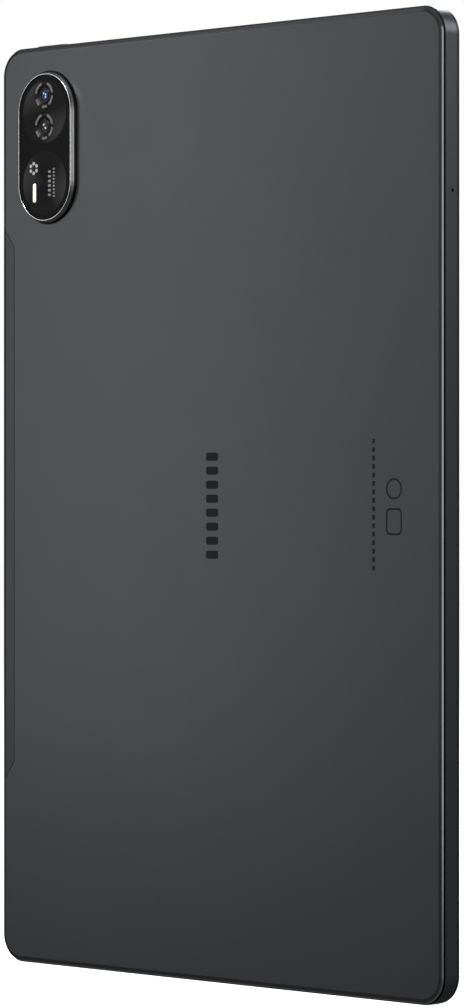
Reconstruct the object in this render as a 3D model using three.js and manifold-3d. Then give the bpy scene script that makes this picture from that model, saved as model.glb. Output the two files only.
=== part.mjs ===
// Tablet computer, standing upright on its short bottom edge, with its screen facing -Y.
// Millimetres, +Z up. The origin is at the middle of the width and of the overall thickness
// (camera island included), at the bottom edge.
//
// The pieces are placed in a group that lies on the back face: its x runs across the tablet, its y
// runs up the tablet, and its z is the depth below the back face, towards the screen. Where a piece
// stands proud of the back face, its depth is negative. "Inset" is a distance inwards from the
// tablet's outer wall.

import * as THREE from "three";
import { mergeVertices } from "three/addons/utils/BufferGeometryUtils.js";
import Module from "manifold-3d";

const wasm = await Module();
wasm.setup();

// ---- Driving dimensions -------------------------------------------------------------------------

const BODY_WIDTH = 168.4;
const BODY_HEIGHT = 257;
const BODY_THICKNESS = 6.9; // screen glass face to back face
const CORNER_RADIUS = 7.6;
const ISLAND_PROUD = 1.8; // camera island above the back face
const WALL = 3.4; // width of the side frame

const HALF_WIDTH = BODY_WIDTH / 2;
const MIDDLE_UP = BODY_HEIGHT / 2;
const BACK_Y = (BODY_THICKNESS - ISLAND_PROUD) / 2;

// Depths of the layers, from the back face towards the screen.
const COVER_THICKNESS = 0.6;
const FRAME_BACK = 0.95;
const FRAME_FRONT = 5.35;
const PLATE_DEPTH = 3.9; // mid plate
const PLATE_THICKNESS = 0.5;
const BACKLIGHT_DEPTH = 4.45;
const BACKLIGHT_THICKNESS = 0.95;
const PANEL_DEPTH = 5.45;
const PANEL_THICKNESS = 0.75;
const BEZEL_BACK = 5.4;
const BEZEL_SHELF = 6.05;
const GLASS_DEPTH = 6.3;
const BOARD_DEPTH = 2.9;
const BOARD_THICKNESS = 0.8;
const BATTERY_DEPTH = 0.95;
const BATTERY_THICKNESS = 2.85;
const EDGE_DEPTH = 3.1; // centre line of the buttons, ports and grilles in the side wall

// Camera island: a round-ended pad with its long side upright.
const ISLAND = { x: 64.6, y: 228.55, halfStraight: 9.87, shelfRadius: 9.5, baseRadius: 11.45 };
const MAIN_CAMERA = { x: 64.9, y: 243.15, base: 8.4, tower: 3.9, floor: 3.7 };
const SECOND_CAMERA = { x: 64.9, y: 234.35, base: 8.0, tower: 3.6, floor: 3.4 };
const LENS_RING_RADIUS = 3.785;
const LENS_WINDOW_RADIUS = 2.0;
const FLASH = { x: 68.9, y: 215.9, width: 1.46, height: 5.4 };
const ISLAND_GLASS_TOP = -1.65;
const ISLAND_GLASS_THICKNESS = 0.7;
const AUTOFOCUS_TRAVEL = 0.3;

// Plastic antenna strip let into the cover's long edge at +X. Its seam runs upright from low to
// high, and from there slants out to the edge, rising by slope for each millimetre outwards.
const STRIP = { seamX: 79.1, low: 56.4, high: 201.2, slope: 1.3 };
const SEAM_GAP = 0.15;

// Controls and openings in the side wall.
const POWER = { x: 66, width: 12 };
const VOLUME = { y: 224, height: 24, stem: 8 };
const BUTTON_THICKNESS = 2.0;
const BUTTON_PROUD = 0.4;
const BUTTON_GAP = 0.15;
const DOME_INSET = 2.95;
const TRAY = { y: 28, width: 14, body: 12.2, length: 19, head: 1.2 };
const USB = { width: 8.94, height: 3.16, length: 7.2, front: 0.35, wall: 0.3 };
const SPEAKER = { x: 42, width: 30, height: 16, depth: 2.5, from: 4, slot: 15 };
const SIDE_MIC = { y: 209.3, depth: 3.53 };
const BOTTOM_MIC = { x: 16 };
const MIC_HOLE_RADIUS = 0.5;

// Large inner pieces.
const SCREEN = { width: 152, height: 241, radius: 3 };
const CELL = { x: 37.5, y: 123, width: 70, height: 146 };
const MAINBOARD = { left: -76, right: 53, low: 206, high: 234, armHalf: 24, armTop: 248 };
const CHARGING_BOARD = { halfWidth: 24, low: 7.8, high: 23 };
const SCREW = { head: 1.3, shaft: 0.5, hole: 0.75 };
const SCREW_PLACES = [
  [-72, 210],
  [-72, 230],
  [49, 210],
  [20, 245],
  [-20, 20],
  [20, 20],
];

const CORNER_STEPS = 8; // facets in each corner of the body
const ISLAND_STEPS = 6; // facets in each quarter of the camera island's ends
const ROUND_STEPS = 2; // half the facets in each quarter of a small round shape
const LENS_STEPS = 4; // the same for the holes round the lenses
const WELD = 1e-4; // vertices nearer than this are one
const THROUGH = 0.5; // how far a cutting shape reaches past what it cuts

// ---- Outlines -----------------------------------------------------------------------------------

function roundedRect(width, height, radius) {
  const x = width / 2 - radius;
  const y = height / 2 - radius;
  const quarter = Math.PI / 2;
  const shape = new THREE.Shape();
  shape.absarc(x, y, radius, 0, quarter);
  shape.absarc(-x, y, radius, quarter, 2 * quarter);
  shape.absarc(-x, -y, radius, 2 * quarter, 3 * quarter);
  shape.absarc(x, -y, radius, 3 * quarter, 4 * quarter);
  shape.closePath();
  return shape;
}

function pill(width, height) {
  return roundedRect(width, height, Math.min(width, height) / 2 - WELD);
}

function circle(radius) {
  return roundedRect(2 * radius, 2 * radius, radius - WELD);
}

function polygon(points) {
  return new THREE.Shape(points.map(([x, y]) => new THREE.Vector2(x, y)));
}

function rectangle(x0, y0, x1, y1) {
  return polygon([
    [x0, y0],
    [x1, y0],
    [x1, y1],
    [x0, y1],
  ]);
}

/** Points round a rectangle with round corners whose centres stay put as the radius changes. */
function cornerPoints(centreX, centreY, halfX, halfY, radius, steps) {
  const points = [];
  const signs = [
    [1, 1],
    [-1, 1],
    [-1, -1],
    [1, -1],
  ];
  signs.forEach(([sx, sy], quarter) => {
    for (let i = 0; i <= steps; i++) {
      const angle = (quarter + i / steps) * (Math.PI / 2);
      const x = centreX + sx * halfX + radius * Math.cos(angle);
      const y = centreY + sy * halfY + radius * Math.sin(angle);
      points.push(new THREE.Vector2(x, y));
    }
  });
  return points;
}

/** The body's outline, moved inwards by an inset. */
function bodyOutline(inset) {
  const halfX = HALF_WIDTH - CORNER_RADIUS;
  const halfY = MIDDLE_UP - CORNER_RADIUS;
  return cornerPoints(0, MIDDLE_UP, halfX, halfY, CORNER_RADIUS - inset, CORNER_STEPS);
}

/** The camera island's outline at a distance from the line between its two centres. */
function islandOutline(radius) {
  const spine = 0.01; // keeps the four corner centres apart across the island
  return cornerPoints(0, 0, spine, ISLAND.halfStraight, radius - spine, ISLAND_STEPS);
}

// ---- Solids -------------------------------------------------------------------------------------

function facingOut(geometry) {
  const p = geometry.getAttribute("position");
  const index = geometry.index.array;
  const [a, b, c] = [new THREE.Vector3(), new THREE.Vector3(), new THREE.Vector3()];
  let volume = 0;
  for (let i = 0; i < index.length; i += 3) {
    a.fromBufferAttribute(p, index[i]);
    b.fromBufferAttribute(p, index[i + 1]);
    c.fromBufferAttribute(p, index[i + 2]);
    volume += a.dot(b.cross(c));
  }
  if (volume < 0) geometry.setIndex(Array.from(index).reverse());
  return geometry;
}

/** Joins rings of points with quads. A closed ring of rings is a tube; an open one has caps. */
function skin(rings, closed) {
  const count = rings[0].length;
  const positions = rings.flatMap((ring) => ring.flatMap((p) => [p.x, p.y, p.z]));
  const index = [];
  const last = closed ? rings.length : rings.length - 1;
  for (let j = 0; j < last; j++) {
    const low = j * count;
    const high = ((j + 1) % rings.length) * count;
    for (let i = 0; i < count; i++) {
      const next = (i + 1) % count;
      index.push(low + i, low + next, high + next, low + i, high + next, high + i);
    }
  }
  if (!closed) {
    const top = (rings.length - 1) * count;
    const bottomCap = THREE.ShapeUtils.triangulateShape(rings[0], []);
    const topCap = THREE.ShapeUtils.triangulateShape(rings[rings.length - 1], []);
    bottomCap.forEach(([i, j, k]) => index.push(k, j, i));
    topCap.forEach(([i, j, k]) => index.push(top + i, top + j, top + k));
  }
  const geometry = new THREE.BufferGeometry();
  geometry.setAttribute("position", new THREE.Float32BufferAttribute(positions, 3));
  geometry.setIndex(index);
  return facingOut(geometry);
}

function ringsOf(outline, section) {
  return section.map(([offset, depth]) =>
    outline(offset).map((p) => new THREE.Vector3(p.x, p.y, depth)),
  );
}

/** A solid plate whose outline changes with depth. The section lists [offset, depth] pairs. */
function loft(outline, section) {
  return skin(ringsOf(outline, section), false);
}

/** A closed ring: the section, a closed list of [offset, depth] pairs, swept round the outline. */
function sweep(outline, section) {
  return skin(ringsOf(outline, section), true);
}

/** A flat plate of a shape, its back face at z = 0 and its front face at z = thickness. */
function plate(shape, thickness, steps = ROUND_STEPS) {
  return new THREE.ExtrudeGeometry(shape, {
    depth: thickness,
    bevelEnabled: false,
    curveSegments: steps,
  });
}

/** A plate whose edges are bevelled inside the shape's own outline. */
function softPlate(shape, thickness, bevel) {
  const geometry = new THREE.ExtrudeGeometry(shape, {
    depth: thickness - 2 * bevel,
    bevelThickness: bevel,
    bevelSize: bevel,
    bevelOffset: -bevel,
    bevelSegments: 1,
    curveSegments: 1,
  });
  return geometry.translate(0, 0, bevel);
}

/** A prism of a shape drawn as (x, depth), running up the tablet from y = 0 to y = length. */
function upward(shape, length) {
  return plate(shape, length).rotateX(-Math.PI / 2);
}

/** A prism of a shape drawn as (depth, y), running across the tablet from x = 0 to x = length. */
function across(shape, length) {
  return plate(shape, length).rotateY(Math.PI / 2);
}

function turned(profile, sides) {
  const points = profile.map(([radius, depth]) => new THREE.Vector2(radius, depth));
  return new THREE.LatheGeometry(points, sides).rotateX(Math.PI / 2);
}

function toManifold(geometry) {
  const bare = geometry.clone();
  bare.deleteAttribute("normal");
  bare.deleteAttribute("uv");
  const merged = mergeVertices(bare, WELD);
  return new wasm.Manifold(
    new wasm.Mesh({
      numProp: 3,
      vertProperties: merged.getAttribute("position").array,
      triVerts: new Uint32Array(merged.index.array),
    }),
  );
}

function toGeometry(manifold) {
  const mesh = manifold.getMesh();
  const geometry = new THREE.BufferGeometry();
  geometry.setAttribute("position", new THREE.BufferAttribute(mesh.vertProperties, mesh.numProp));
  geometry.setIndex(new THREE.BufferAttribute(mesh.triVerts, 1));
  return geometry;
}

function cut(base, ...tools) {
  const result = tools.reduce((body, tool) => body.subtract(toManifold(tool)), toManifold(base));
  return toGeometry(result);
}

function join(base, ...others) {
  const result = others.reduce((body, other) => body.add(toManifold(other)), toManifold(base));
  return toGeometry(result);
}

function common(base, other) {
  return toGeometry(toManifold(base).intersect(toManifold(other)));
}

// ---- Finishes -----------------------------------------------------------------------------------

const finish = (color, roughness, metalness) => ({ color, roughness, metalness });
const FINISH = {
  cover: finish(0x55585a, 0.42, 0.75),
  band: finish(0x4a4d4f, 0.4, 0.8),
  polished: finish(0xb4b6b8, 0.15, 1.0),
  strip: finish(0x4b4f52, 0.48, 0.1),
  blackPlastic: finish(0x0c0c0d, 0.45, 0.0),
  blackGlass: finish(0x060607, 0.05, 0.0),
  lensMetal: finish(0x3a3b3d, 0.3, 0.9),
  lensGlass: finish(0x10141c, 0.03, 0.0),
  flash: finish(0xf2e6c8, 0.3, 0.0),
  foam: finish(0x101010, 0.9, 0.0),
  panel: finish(0x15171a, 0.1, 0.0),
  reflector: finish(0xdfe2e4, 0.35, 0.3),
  magnesium: finish(0x8d9193, 0.45, 0.8),
  board: finish(0x16382b, 0.55, 0.05),
  shield: finish(0xb9bcbe, 0.3, 0.9),
  steel: finish(0xa9acae, 0.25, 1.0),
  pouch: finish(0x2b2c2e, 0.5, 0.3),
  flex: finish(0x8a5a1c, 0.5, 0.1),
  graphite: finish(0x26272a, 0.7, 0.2),
};

function addPiece(parent, name, geometry, look, x = 0, y = 0, depth = 0) {
  const piece = new THREE.Mesh(geometry, new THREE.MeshStandardMaterial(look));
  piece.name = name;
  piece.position.set(x, y, depth);
  parent.add(piece);
  return piece;
}

function addGroup(parent, x, y, z) {
  const group = new THREE.Group();
  group.position.set(x, y, z);
  parent.add(group);
  return group;
}

// ---- Back cover, side frame and screen ----------------------------------------------------------

/** The strip's outline, grown by a margin on the three sides that meet the cover. */
function stripOutline(margin) {
  const seamX = STRIP.seamX - margin;
  const outside = HALF_WIDTH + THROUGH;
  const kneeShift = margin * (Math.hypot(1, STRIP.slope) - STRIP.slope);
  const low = STRIP.low - kneeShift;
  const high = STRIP.high + kneeShift;
  const rise = STRIP.slope * (outside - seamX);
  return polygon([
    [outside, low - rise],
    [outside, high + rise],
    [seamX, high],
    [seamX, low],
  ]);
}

/** The whole back panel: flat, then a soft edge, then the polished chamfer down to the rim. */
function backPanel() {
  return loft(bodyOutline, [
    [1.38, 0],
    [0.95, 0.06],
    [0.55, 0.22],
    [0.19, 0.57],
    [0.19, COVER_THICKNESS],
  ]);
}

function addCover(parent) {
  const notch = plate(stripOutline(SEAM_GAP), 2).translate(0, 0, -1);
  const hole = loft(islandOutline, [
    [ISLAND.baseRadius + SEAM_GAP, -1],
    [ISLAND.baseRadius + SEAM_GAP, 1],
  ]).translate(ISLAND.x, ISLAND.y, 0);
  addPiece(parent, "rear_cover", cut(backPanel(), notch, hole), FINISH.cover);
  const insert = plate(stripOutline(0), 2).translate(0, 0, -1);
  addPiece(parent, "antenna_strip", common(backPanel(), insert), FINISH.strip);
  const seal = sweep(bodyOutline, [
    [0.9, 0.65],
    [2.6, 0.65],
    [2.6, 0.9],
    [0.9, 0.9],
  ]);
  addPiece(parent, "cover_seal", seal, FINISH.foam);
  const film = plate(roundedRect(3.2, 138, 0.5), 0.15, 1);
  addPiece(parent, "antenna_flex", film, FINISH.flex, 79, 129, 0.68);
}

/** The window and the inner pocket that a button's head and flange sit in, both as prisms. */
function buttonCuts(length, prism) {
  const gap = 2 * BUTTON_GAP;
  const window = pillAlong(prism, length + gap, BUTTON_THICKNESS + gap);
  const pocket = pillAlong(prism, length + 2.6, 3.3);
  return { window: prism(window, WALL + 2 * THROUGH), pocket: prism(pocket, WALL) };
}

/** A pill drawn for a prism that runs up (long side along x) or across (long side along y). */
function pillAlong(prism, length, thickness) {
  return prism === upward ? pill(length, thickness) : pill(thickness, length);
}

function frameCuts() {
  const cuts = [];
  const top = BODY_HEIGHT - WALL - THROUGH;
  const power = buttonCuts(POWER.width, upward);
  cuts.push(power.window.translate(POWER.x, top, EDGE_DEPTH));
  cuts.push(power.pocket.translate(POWER.x, BODY_HEIGHT - WALL - 1.2, EDGE_DEPTH));
  const volume = buttonCuts(VOLUME.height, across);
  const side = HALF_WIDTH - WALL - THROUGH;
  cuts.push(volume.window.translate(side, VOLUME.y, EDGE_DEPTH));
  cuts.push(volume.pocket.translate(HALF_WIDTH - WALL - 1.2, VOLUME.y, EDGE_DEPTH));
  const headWindow = across(pill(2.5, TRAY.width + 0.3), 3);
  cuts.push(headWindow.translate(HALF_WIDTH - TRAY.head - 0.15, TRAY.y, EDGE_DEPTH));
  const trayWay = across(roundedRect(1.2, TRAY.body + 0.5, 0.3), WALL + 2 * THROUGH);
  cuts.push(trayWay.translate(side, TRAY.y, EDGE_DEPTH));
  const usbHole = upward(pill(USB.width + 0.3, USB.height + 0.3), WALL + 2 * THROUGH);
  cuts.push(usbHole.translate(0, -THROUGH, EDGE_DEPTH));
  for (const x of [-SPEAKER.x, SPEAKER.x]) {
    const slot = upward(pill(SPEAKER.slot, 1.5), WALL + 2 * THROUGH);
    cuts.push(slot.clone().translate(x, -THROUGH, EDGE_DEPTH));
    cuts.push(slot.translate(x, top, EDGE_DEPTH));
  }
  const hole = plate(circle(MIC_HOLE_RADIUS), WALL + 2 * THROUGH, 2);
  cuts.push(hole.clone().rotateX(-Math.PI / 2).translate(BOTTOM_MIC.x, -THROUGH, EDGE_DEPTH));
  const sideStart = -HALF_WIDTH - THROUGH;
  cuts.push(hole.rotateY(Math.PI / 2).translate(sideStart, SIDE_MIC.y, SIDE_MIC.depth));
  return cuts;
}

function addFrame(parent) {
  const ring = sweep(bodyOutline, [
    [0.12, FRAME_BACK],
    [0, FRAME_BACK + 0.12],
    [0, FRAME_FRONT - 0.13],
    [0.1, FRAME_FRONT],
    [WALL, FRAME_FRONT],
    [WALL, FRAME_BACK],
  ]);
  addPiece(parent, "side_frame", cut(ring, ...frameCuts()), FINISH.band);
}

function addScreen(parent) {
  const bezel = sweep(bodyOutline, [
    [0.12, BEZEL_BACK],
    [0.05, 5.5],
    [0.05, 5.95],
    [0.2, 6.3],
    [0.5, 6.5],
    [0.75, 6.5],
    [0.75, BEZEL_SHELF],
    [3.2, BEZEL_SHELF],
    [3.2, BEZEL_BACK],
  ]);
  addPiece(parent, "display_bezel", bezel, FINISH.blackPlastic);
  const adhesive = sweep(bodyOutline, [
    [0.9, 6.1],
    [3.0, 6.1],
    [3.0, 6.25],
    [0.9, 6.25],
  ]);
  addPiece(parent, "glass_adhesive", adhesive, FINISH.foam);
  const glass = loft(bodyOutline, [
    [0.85, GLASS_DEPTH],
    [0.85, 6.55],
    [1.0, 6.75],
    [1.4, 6.87],
    [2.0, BODY_THICKNESS],
  ]);
  addPiece(parent, "cover_glass", glass, FINISH.blackGlass);

  const screen = addGroup(parent, 0, MIDDLE_UP, 0);
  const outline = () => roundedRect(SCREEN.width, SCREEN.height, SCREEN.radius);
  const panel = plate(outline(), PANEL_THICKNESS, 2);
  addPiece(screen, "display_panel", panel, FINISH.panel, 0, 0, PANEL_DEPTH);
  const tray = plate(outline(), BACKLIGHT_THICKNESS, 2);
  const pool = plate(roundedRect(SCREEN.width - 2, SCREEN.height - 2, 2), 1);
  const backlight = cut(tray, pool.translate(0, 0, BACKLIGHT_THICKNESS - 0.1));
  addPiece(screen, "backlight_unit", backlight, FINISH.reflector, 0, 0, BACKLIGHT_DEPTH);
}

// ---- Mid plate, batteries and boards ------------------------------------------------------------

function addMidPlate(parent) {
  const gap = 0.3;
  const width = BODY_WIDTH - 2 * (WALL + gap);
  const height = BODY_HEIGHT - 2 * (WALL + gap);
  const sheet = plate(roundedRect(width, height, 4), PLATE_THICKNESS);
  sheet.translate(0, MIDDLE_UP, 0);
  const usbNotch = plate(rectangle(-6, 0, 6, 9), 2).translate(0, 0, -1);
  const flexSlot = plate(rectangle(-14, 250, 14, 252.4), 2).translate(0, 0, -1);
  const powerNotch = plate(rectangle(57, 252.6, 75, 256), 2).translate(0, 0, -1);
  const holes = SCREW_PLACES.map(([x, y]) =>
    plate(circle(SCREW.hole), 2, 1).translate(x, y, -1),
  );
  const made = cut(sheet, usbNotch, flexSlot, powerNotch, ...holes);
  addPiece(parent, "mid_plate", made, FINISH.magnesium, 0, 0, PLATE_DEPTH);
}

function addBatteries(parent) {
  for (const [name, x] of [
    ["battery_cell_left", -CELL.x],
    ["battery_cell_right", CELL.x],
  ]) {
    const cell = softPlate(roundedRect(CELL.width, CELL.height, 2.5), BATTERY_THICKNESS, 0.5);
    addPiece(parent, name, cell, FINISH.pouch, x, CELL.y, BATTERY_DEPTH);
  }
  const strip = plate(roundedRect(64, 4.6, 0.6), 0.8, 1);
  const chips = [-22, -8, 12, 24].map((x) =>
    plate(roundedRect(5, 2.6, 0.3), 0.7, 1).translate(x, 0, -0.65),
  );
  const board = join(strip, ...chips);
  addPiece(parent, "battery_protection_board", board, FINISH.board, 0, 200, 2.2);
  const sheet = plate(roundedRect(144, 142, 3), 0.12, 2);
  addPiece(parent, "graphite_sheet", sheet, FINISH.graphite, 0, 123, 0.7);
}

function boardHoles(low, high) {
  return SCREW_PLACES.filter(([, y]) => y > low && y < high).map(([x, y]) =>
    plate(circle(SCREW.hole), 2, 1).translate(x, y, -0.5),
  );
}

function addMainboard(parent) {
  const m = MAINBOARD;
  const outline = polygon([
    [m.left, m.low],
    [m.right, m.low],
    [m.right, m.high - 6],
    [m.right - 6, m.high],
    [m.armHalf, m.high],
    [m.armHalf, m.armTop],
    [-m.armHalf, m.armTop],
    [-m.armHalf, m.high],
    [m.left, m.high],
  ]);
  const connectors = [
    [0, 208, 12, 2.6],
    [-30, 208, 9, 2.6],
    [44, 220, 3, 9],
    [0, 244, 16, 2.4],
    [-62, 208.5, 8, 2.2],
  ].map(([x, y, width, height]) =>
    plate(roundedRect(width, height, 0.4), 0.9, 1).translate(x, y, -0.85),
  );
  const sheet = cut(plate(outline, BOARD_THICKNESS), ...boardHoles(m.low, m.armTop));
  const board = join(sheet, ...connectors);
  addPiece(parent, "mainboard", board, FINISH.board, 0, 0, BOARD_DEPTH);

  const cans = [
    ["processor_shield", -8, 222, 30, 19],
    ["memory_shield", -50, 222, 26, 17],
    ["radio_shield", 28, 221, 22, 18],
  ];
  for (const [name, x, y, width, height] of cans) {
    const can = softPlate(roundedRect(width, height, 1.2), 1.35, 0.25);
    addPiece(parent, name, can, FINISH.shield, x, y, 1.5);
  }
}

function addChargingBoard(parent) {
  const c = CHARGING_BOARD;
  const sheet = plate(
    rectangle(-c.halfWidth, c.low, c.halfWidth, c.high),
    BOARD_THICKNESS,
  );
  const parts = [
    [0, 20.6, 12, 2.4],
    [-12, 13, 6, 6],
    [11, 13, 5, 7],
  ].map(([x, y, width, height]) =>
    plate(roundedRect(width, height, 0.4), 0.9, 1).translate(x, y, -0.85),
  );
  const board = join(cut(sheet, ...boardHoles(c.low, c.high)), ...parts);
  addPiece(parent, "charging_board", board, FINISH.board, 0, 0, BOARD_DEPTH);

  const shell = upward(pill(USB.width, USB.height), USB.length);
  const inner = pill(USB.width - 2 * USB.wall, USB.height - 2 * USB.wall);
  const hollow = upward(inner, USB.length).translate(0, -1, 0);
  const tongue = upward(roundedRect(6.7, 0.7, 0.15), USB.length - 1).translate(0, 0.8, 0);
  const socket = join(cut(shell, hollow), tongue);
  addPiece(parent, "usb_c_receptacle", socket, FINISH.steel, 0, USB.front, EDGE_DEPTH);

  const mic = softPlate(roundedRect(3.6, 2.6, 0.4), 1.1, 0.1);
  addPiece(parent, "bottom_microphone", mic, FINISH.shield, BOTTOM_MIC.x, 5.2, 2.5);
}

function addCables(parent) {
  const link = plate(roundedRect(4, 186.4, 0.5), 0.15, 1);
  addPiece(parent, "board_link_flex", link, FINISH.flex, 0, 113.3, 1.72);
  const t = 0.15;
  const path = polygon([
    [249.4, 5.8],
    [251.2, 5.8],
    [251.2, 1.85],
    [243, 1.85],
    [243, 1.85 - t],
    [251.2 + t, 1.85 - t],
    [251.2 + t, 5.8 + t],
    [249.4, 5.8 + t],
  ]);
  // The polygon is drawn as (y, depth) and then turned to run across the tablet.
  const width = 24;
  const fold = plate(path, width).applyMatrix4(
    new THREE.Matrix4().set(0, 0, 1, -width / 2, 1, 0, 0, 0, 0, 1, 0, 0, 0, 0, 0, 1),
  );
  addPiece(parent, "display_flex", fold, FINISH.flex);
}

// ---- Cameras ------------------------------------------------------------------------------------

function addIsland(parent) {
  const island = addGroup(parent, ISLAND.x, ISLAND.y, 0);
  const ring = sweep(islandOutline, [
    [12.6, 1.0],
    [12.6, 0.66],
    [ISLAND.baseRadius, 0.66],
    [ISLAND.baseRadius, 0],
    [11.05, -0.92],
    [10.93, -0.98],
    [10.82, -1.66],
    [10.64, -ISLAND_PROUD],
    [10.42, -ISLAND_PROUD],
    [10.3, -1.66],
    [10.3, -0.9],
    [ISLAND.shelfRadius, -0.9],
    [ISLAND.shelfRadius, 1.0],
  ]);
  addPiece(island, "camera_island_ring", ring, FINISH.lensMetal);

  const pane = loft(islandOutline, [
    [10.15, 0],
    [10.15, ISLAND_GLASS_THICKNESS],
  ]);
  const local = ({ x, y }) => [x - ISLAND.x, y - ISLAND.y];
  const holes = [MAIN_CAMERA, SECOND_CAMERA].map((camera) =>
    plate(circle(LENS_RING_RADIUS + 0.1), 2, LENS_STEPS).translate(...local(camera), -0.5),
  );
  const slot = plate(pill(FLASH.width + 0.2, FLASH.height + 0.2), 2);
  const glass = cut(pane, ...holes, slot.translate(...local(FLASH), -0.5));
  addPiece(island, "camera_glass", glass, FINISH.blackGlass, 0, 0, ISLAND_GLASS_TOP);

  const lens = plate(pill(FLASH.width, FLASH.height), 0.65);
  addPiece(island, "flash_lens", lens, FINISH.flash, ...local(FLASH), ISLAND_GLASS_TOP + 0.05);
  const emitter = join(
    plate(roundedRect(4, 7, 0.4), 0.6),
    plate(pill(1.2, 4.6), 0.6).translate(0, 0, -0.55),
  );
  addPiece(island, "flash_led_board", emitter, FINISH.board, ...local(FLASH), -0.1);
}

/** A camera's square base with its round tower, and the bore that its lens looks through. */
function cameraHousing(camera, boreRadius, boreFloor) {
  const towerTop = -0.6;
  const baseTop = 1.06;
  const base = softPlate(roundedRect(camera.base, camera.base, 0.6), camera.floor - baseTop, 0.15);
  const tower = plate(circle(camera.tower), baseTop + 0.3 - towerTop);
  const bore = plate(circle(boreRadius), boreFloor + 1).translate(0, 0, -1);
  return cut(join(base.translate(0, 0, baseTop), tower.translate(0, 0, towerTop)), bore);
}

function addCamera(parent, camera, names) {
  const group = addGroup(parent, camera.x, camera.y, 0);
  const trim = turned(
    [
      [LENS_WINDOW_RADIUS + 0.1, -0.8],
      [LENS_RING_RADIUS, -0.8],
      [LENS_RING_RADIUS, -1.6],
      [3.3, -1.6],
      [LENS_WINDOW_RADIUS + 0.1, -1.3],
      [LENS_WINDOW_RADIUS + 0.1, -0.8],
    ],
    32,
  );
  addPiece(group, names.ring, facingOut(trim), FINISH.lensMetal);
  const window = plate(circle(LENS_WINDOW_RADIUS), 0.5);
  addPiece(group, names.window, window, FINISH.lensGlass, 0, 0, -1.3);
  return group;
}

function addCameras(parent) {
  const main = addCamera(parent, MAIN_CAMERA, {
    ring: "main_lens_ring",
    window: "main_lens_window",
  });
  const bore = 3.0;
  const housing = cameraHousing(MAIN_CAMERA, bore, 3.2);
  addPiece(main, "main_camera_housing", housing, FINISH.blackPlastic);
  const barrel = cut(
    join(plate(circle(2.2), 2.9), plate(circle(bore - 0.15), 1.4).translate(0, 0, 1)),
    plate(circle(1.2), 0.4).translate(0, 0, -0.2),
  );
  const barrelTop = -AUTOFOCUS_TRAVEL + 0.1;
  addPiece(main, "main_camera_barrel", barrel, FINISH.blackPlastic, 0, 0, barrelTop);
  const second = addCamera(parent, SECOND_CAMERA, {
    ring: "second_lens_ring",
    window: "second_lens_window",
  });
  const module = cameraHousing(SECOND_CAMERA, 1.6, 0.2);
  addPiece(second, "second_camera_module", module, FINISH.blackPlastic);

  const front = join(
    softPlate(roundedRect(4, 5.6, 0.5), 1.2, 0.15),
    plate(circle(1.6), 0.8).translate(0, 0, 0.95),
  );
  addPiece(parent, "front_camera", front, FINISH.blackPlastic, 78.4, MIDDLE_UP, BACKLIGHT_DEPTH);
}

// ---- Buttons, card tray, speakers and microphones -----------------------------------------------

function addPowerButton(parent) {
  const group = addGroup(parent, POWER.x, BODY_HEIGHT, EDGE_DEPTH);
  const head = upward(pill(POWER.width, BUTTON_THICKNESS), 1.6 + BUTTON_PROUD);
  const flange = upward(pill(POWER.width + 1.8, 2.9), 0.5);
  const stem = upward(roundedRect(3, 1.4, 0.3), 1);
  const button = join(
    head.translate(0, -1.6, 0),
    flange.translate(0, -1.85, 0),
    stem.translate(0, -2.6, 0),
  );
  addPiece(group, "power_button", button, FINISH.band);
  const dome = turned(
    [
      [0, -0.2],
      [1.0, -0.2],
      [1.0, 0],
      [0.5, 0.18],
      [0, 0.2],
    ],
    16,
  );
  const facing = dome.rotateX(-Math.PI / 2);
  const switchY = -DOME_INSET - 0.2;
  addPiece(group, "power_dome_switch", facingOut(facing), FINISH.steel, 0, switchY, 0);
  const flex = upward(roundedRect(14, 2, 0.3), 0.15);
  addPiece(group, "power_key_flex", flex, FINISH.flex, 0, -3.57, 0);
}

function addVolumeRocker(parent) {
  const group = addGroup(parent, HALF_WIDTH, VOLUME.y, EDGE_DEPTH);
  const head = across(pill(BUTTON_THICKNESS, VOLUME.height), 1.9 + BUTTON_PROUD);
  const flange = across(pill(2.9, VOLUME.height + 1.6), 0.5);
  const stems = [-VOLUME.stem, VOLUME.stem].map((y) =>
    across(roundedRect(1.4, 3, 0.3), 1).translate(-2.6, y, 0),
  );
  const rocker = join(head.translate(-1.9, 0, 0), flange.translate(-2.1, 0, 0), ...stems);
  addPiece(group, "volume_rocker", rocker, FINISH.band);
  for (const [name, y] of [
    ["volume_up_dome_switch", VOLUME.stem],
    ["volume_down_dome_switch", -VOLUME.stem],
  ]) {
    const dome = turned(
      [
        [0, -0.2],
        [1.0, -0.2],
        [1.0, 0],
        [0.5, 0.18],
        [0, 0.2],
      ],
      16,
    );
    const facing = dome.rotateY(Math.PI / 2);
    addPiece(group, name, facingOut(facing), FINISH.steel, -DOME_INSET - 0.2, y, 0);
  }
  const flex = across(roundedRect(1.5, 30, 0.3), 0.15);
  addPiece(group, "side_key_flex", flex, FINISH.flex, -3.57, 0, 0);
}

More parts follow.
